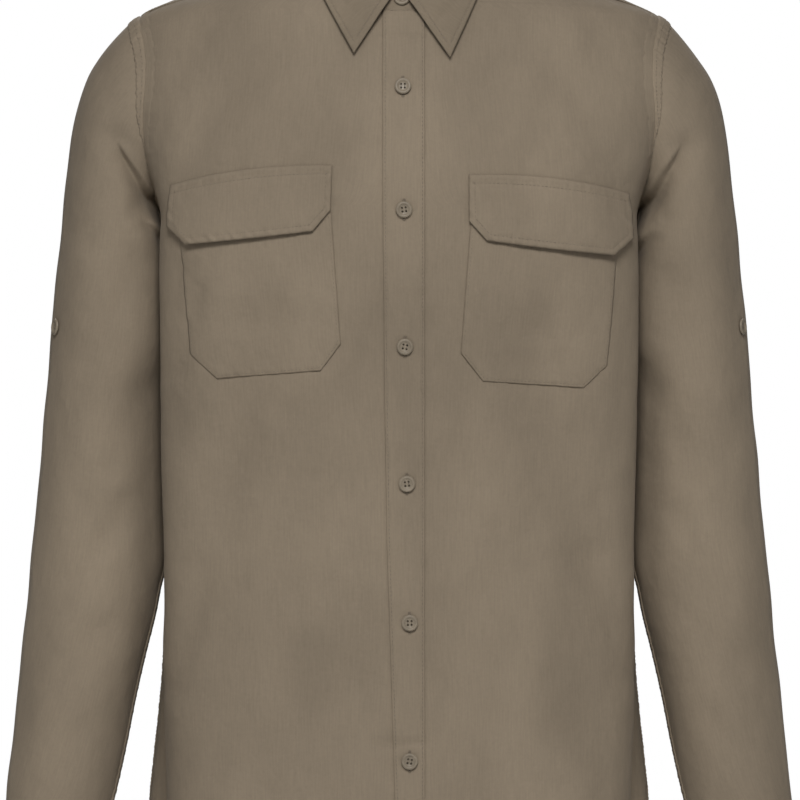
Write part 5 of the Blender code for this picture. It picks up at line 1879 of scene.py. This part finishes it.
# %% Sewing a button on
def place_button(name, spot, way, tilt=0.0):
    """Puts a button with its back at spot, and two bars of thread in its holes."""
    right, up, out = local_axes(way)
    right, up = right * math.cos(tilt) + up * math.sin(tilt), up * math.cos(tilt) - right * math.sin(tilt)
    turn = np.stack((right, up, out), axis=1)
    mesh = BUTTON_MESH.copy()
    points = np.zeros(len(mesh.vertices) * 3)
    mesh.vertices.foreach_get("co", points)
    moved = points.reshape(-1, 3) @ turn.T + np.array(spot) * MM
    mesh.vertices.foreach_set("co", moved.ravel())
    mesh.update()
    thing = bpy.data.objects.new(f"{name}_resin", mesh)
    bpy.context.collection.objects.link(thing)
    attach(thing, "root")
    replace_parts(thing, name)
    lines = []
    for x in (-HOLE_OFFSET, HOLE_OFFSET):
        ends = [spot + right * x + up * y + out * 1.22 for y in (-HOLE_OFFSET, HOLE_OFFSET)]
        lines.append((np.array(ends), np.array([out, out])))
    bars = np.concatenate([stitch_bars(p, w, 9.0, 2.7, 0.24) for p, w in [shifted(line) for line in lines]])
    faces = [[i * 10 + corner for corner in face] for i in range(len(bars)) for face in BAR_FACES]
    thread = new_object(f"{name}_thread", bars.reshape(-1, 3), faces, THREAD)
    return thing


def shifted(line):
    """Lengthens a short line backwards, so that its one bar starts at its real start."""
    points, ways = line
    along = points[1] - points[0]
    along = along / np.linalg.norm(along)
    return np.array([points[0] - along * 2.7, points[1] + along * 0.2]), ways


# %% Buttons on the placket, stand, sleeves and cuffs
for i, (x, z) in enumerate(BUTTON_PLACES):
    spot, way = on_front(np.array([x]), np.array([z]), LAYER + 0.5)
    buttonhole(f"buttonhole_{i + 1}", spot[0], way[0])
    seat = spot[0] + way[0] * (BUTTON_LIFT + 0.25)
    place_button(f"front_button_{i + 1}", seat, way[0], 0.2 * math.sin(i * 2.3))


def stand_front(rise):
    """A point in front on the lapped stand, at a height over its seam."""
    return stand_points(np.array([0.03]), rise / STAND_FRONT, LAYER)[0]


STAND_BUTTON_RISE = 9.6
way = np.cross((1, 0, 0), stand_front(STAND_BUTTON_RISE + 3) - stand_front(STAND_BUTTON_RISE - 3))
way = way / np.linalg.norm(way)
place_button("collar_button", stand_front(STAND_BUTTON_RISE) + way * BUTTON_LIFT, way, 0.3)
buttonhole("buttonhole_collar", stand_front(STAND_BUTTON_RISE) + way * 0.1, way, upright=False)

SLEEVE_BUTTON_RING = 9.42
SLEEVE_BUTTON_ANGLE = -32.0
CUFF_LAP_COLUMN = 25 / 26


def sleeve_button_place(side):
    """Where the button of the roll-up tab sits, and the way out there."""
    angle = math.radians(SLEEVE_BUTTON_ANGLE)
    ring = SLEEVE_BUTTON_RING
    rings = np.array([ring, ring, ring - 0.2, ring + 0.2])
    angles = np.array([angle - 0.02, angle + 0.02, angle, angle])
    a, b, c, d = sleeve_points(rings, angles)
    way = np.cross(d - c, b - a)
    way = way / np.linalg.norm(way)
    way = way if way[0] > 0 else -way
    mirror = np.array([side, 1, 1])
    spot = (a + b) / 2 + np.array([SLEEVE_CLEAR, 0, 0]) + way * 1.0
    return spot * mirror, way * mirror


for side in (-1, 1):
    spot, way = sleeve_button_place(side)
    place_button(f"sleeve_button_{WORDS[side]}", spot, way, 0.4)
    column = CUFF_LAP_COLUMN * (cuffs[side].grid.shape[1] - 1)
    spots, ways = cuffs[side].at(np.array([CUFF_ROWS / 2]), np.array([column]))
    place_button(f"cuff_button_{WORDS[side]}", spots[0] + ways[0] * BUTTON_LIFT, ways[0])
    buttonhole(f"buttonhole_cuff_{WORDS[side]}", spots[0] + ways[0] * 0.1, ways[0], upright=False)

# %% [markdown]
# ## Seam objects of each side
# A cloth piece should have the area of the flat piece it was cut from, because cotton hardly stretches.
# This cell states no flat cut. For each side it only looks up the front hem stitches, the armhole band
# and the armhole stitches by name, and does nothing more with them.

# %% The seam objects of each side
for side in (-1, 1):
    word = WORDS[side]
    things = bpy.data.objects
    seams = [things[f"front_hem_stitches_{word}"]]
    seams += [things[f"armhole_band_{word}"], things[f"armhole_stitches_{word}"]]

# %% [markdown]
# ## Studio
# The photograph is a catalogue picture: pure white behind, soft light from the front and above, and no
# hard shadow. A long lens from three metres keeps the proportions flat. The world is white where the
# camera sees it but gives only a little light, so that the form still darkens towards its sides.

# %% Floor
FLOOR_Z = -1.05


def floor():
    """A pale disc well below the hem."""
    bpy.ops.mesh.primitive_circle_add(vertices=96, radius=1.9, fill_type="NGON", location=(0, 0, FLOOR_Z))
    thing = bpy.context.object
    thing.name = "floor"
    thing.data.materials.append(floor_material())


floor()

# %% Lights
def soft_light(name, place, aim, size, power):
    """A rectangular softbox that looks at aim."""
    lamp = bpy.data.lights.new(name, "AREA")
    lamp.shape = "RECTANGLE"
    lamp.size, lamp.size_y = size
    lamp.energy = power
    thing = bpy.data.objects.new(name, lamp)
    thing.location = place
    thing.rotation_euler = (Vector(aim) - Vector(place)).to_track_quat("-Z", "Y").to_euler()
    bpy.context.collection.objects.link(thing)


SOFTBOXES = (
    ("front_softbox", (0.0, -3.0, 1.65), (0, 0, -0.35), (1.3, 0.9), 88),
    ("left_softbox", (-2.4, -2.4, 0.3), (0, 0, -0.4), (0.8, 1.4), 6.5),
    ("right_softbox", (2.4, -2.4, 0.3), (0, 0, -0.4), (0.8, 1.4), 6.5),
    ("back_softbox", (0.0, 2.9, 1.5), (0, 0, -0.35), (2.2, 1.4), 75),
)
for softbox in SOFTBOXES:
    soft_light(*softbox)

# %% World
AMBIENT = 0.10


def studio_world():
    """White where the camera looks at it, and dim as a light."""
    world = bpy.data.worlds.new("studio")
    world.use_nodes = True
    nodes, links = world.node_tree.nodes, world.node_tree.links
    dim = nodes["Background"]
    dim.inputs["Color"].default_value = (1, 1, 1, 1)
    dim.inputs["Strength"].default_value = AMBIENT
    white = nodes.new("ShaderNodeBackground")
    white.inputs["Color"].default_value = (1, 1, 1, 1)
    white.inputs["Strength"].default_value = 1.0
    path = nodes.new("ShaderNodeLightPath")
    mix = nodes.new("ShaderNodeMixShader")
    links.new(path.outputs["Is Camera Ray"], mix.inputs["Fac"])
    links.new(dim.outputs["Background"], mix.inputs[1])
    links.new(white.outputs["Background"], mix.inputs[2])
    links.new(mix.outputs["Shader"], nodes["World Output"].inputs["Surface"])
    return world


bpy.context.scene.world = studio_world()

# %% Camera
CAMERA_PLACE = (0.0008, -3.2, -0.351)
CAMERA_LENS = 184.6
camera_data = bpy.data.cameras.new("camera")
camera_data.lens = CAMERA_LENS
camera_data.sensor_width = 36
camera_data.clip_end = 50
camera = bpy.data.objects.new("camera", camera_data)
camera.location = CAMERA_PLACE
camera.rotation_euler = (math.pi / 2, 0, 0)
bpy.context.collection.objects.link(camera)
bpy.context.scene.camera = camera
bpy.context.scene.view_settings.view_transform = "Standard"
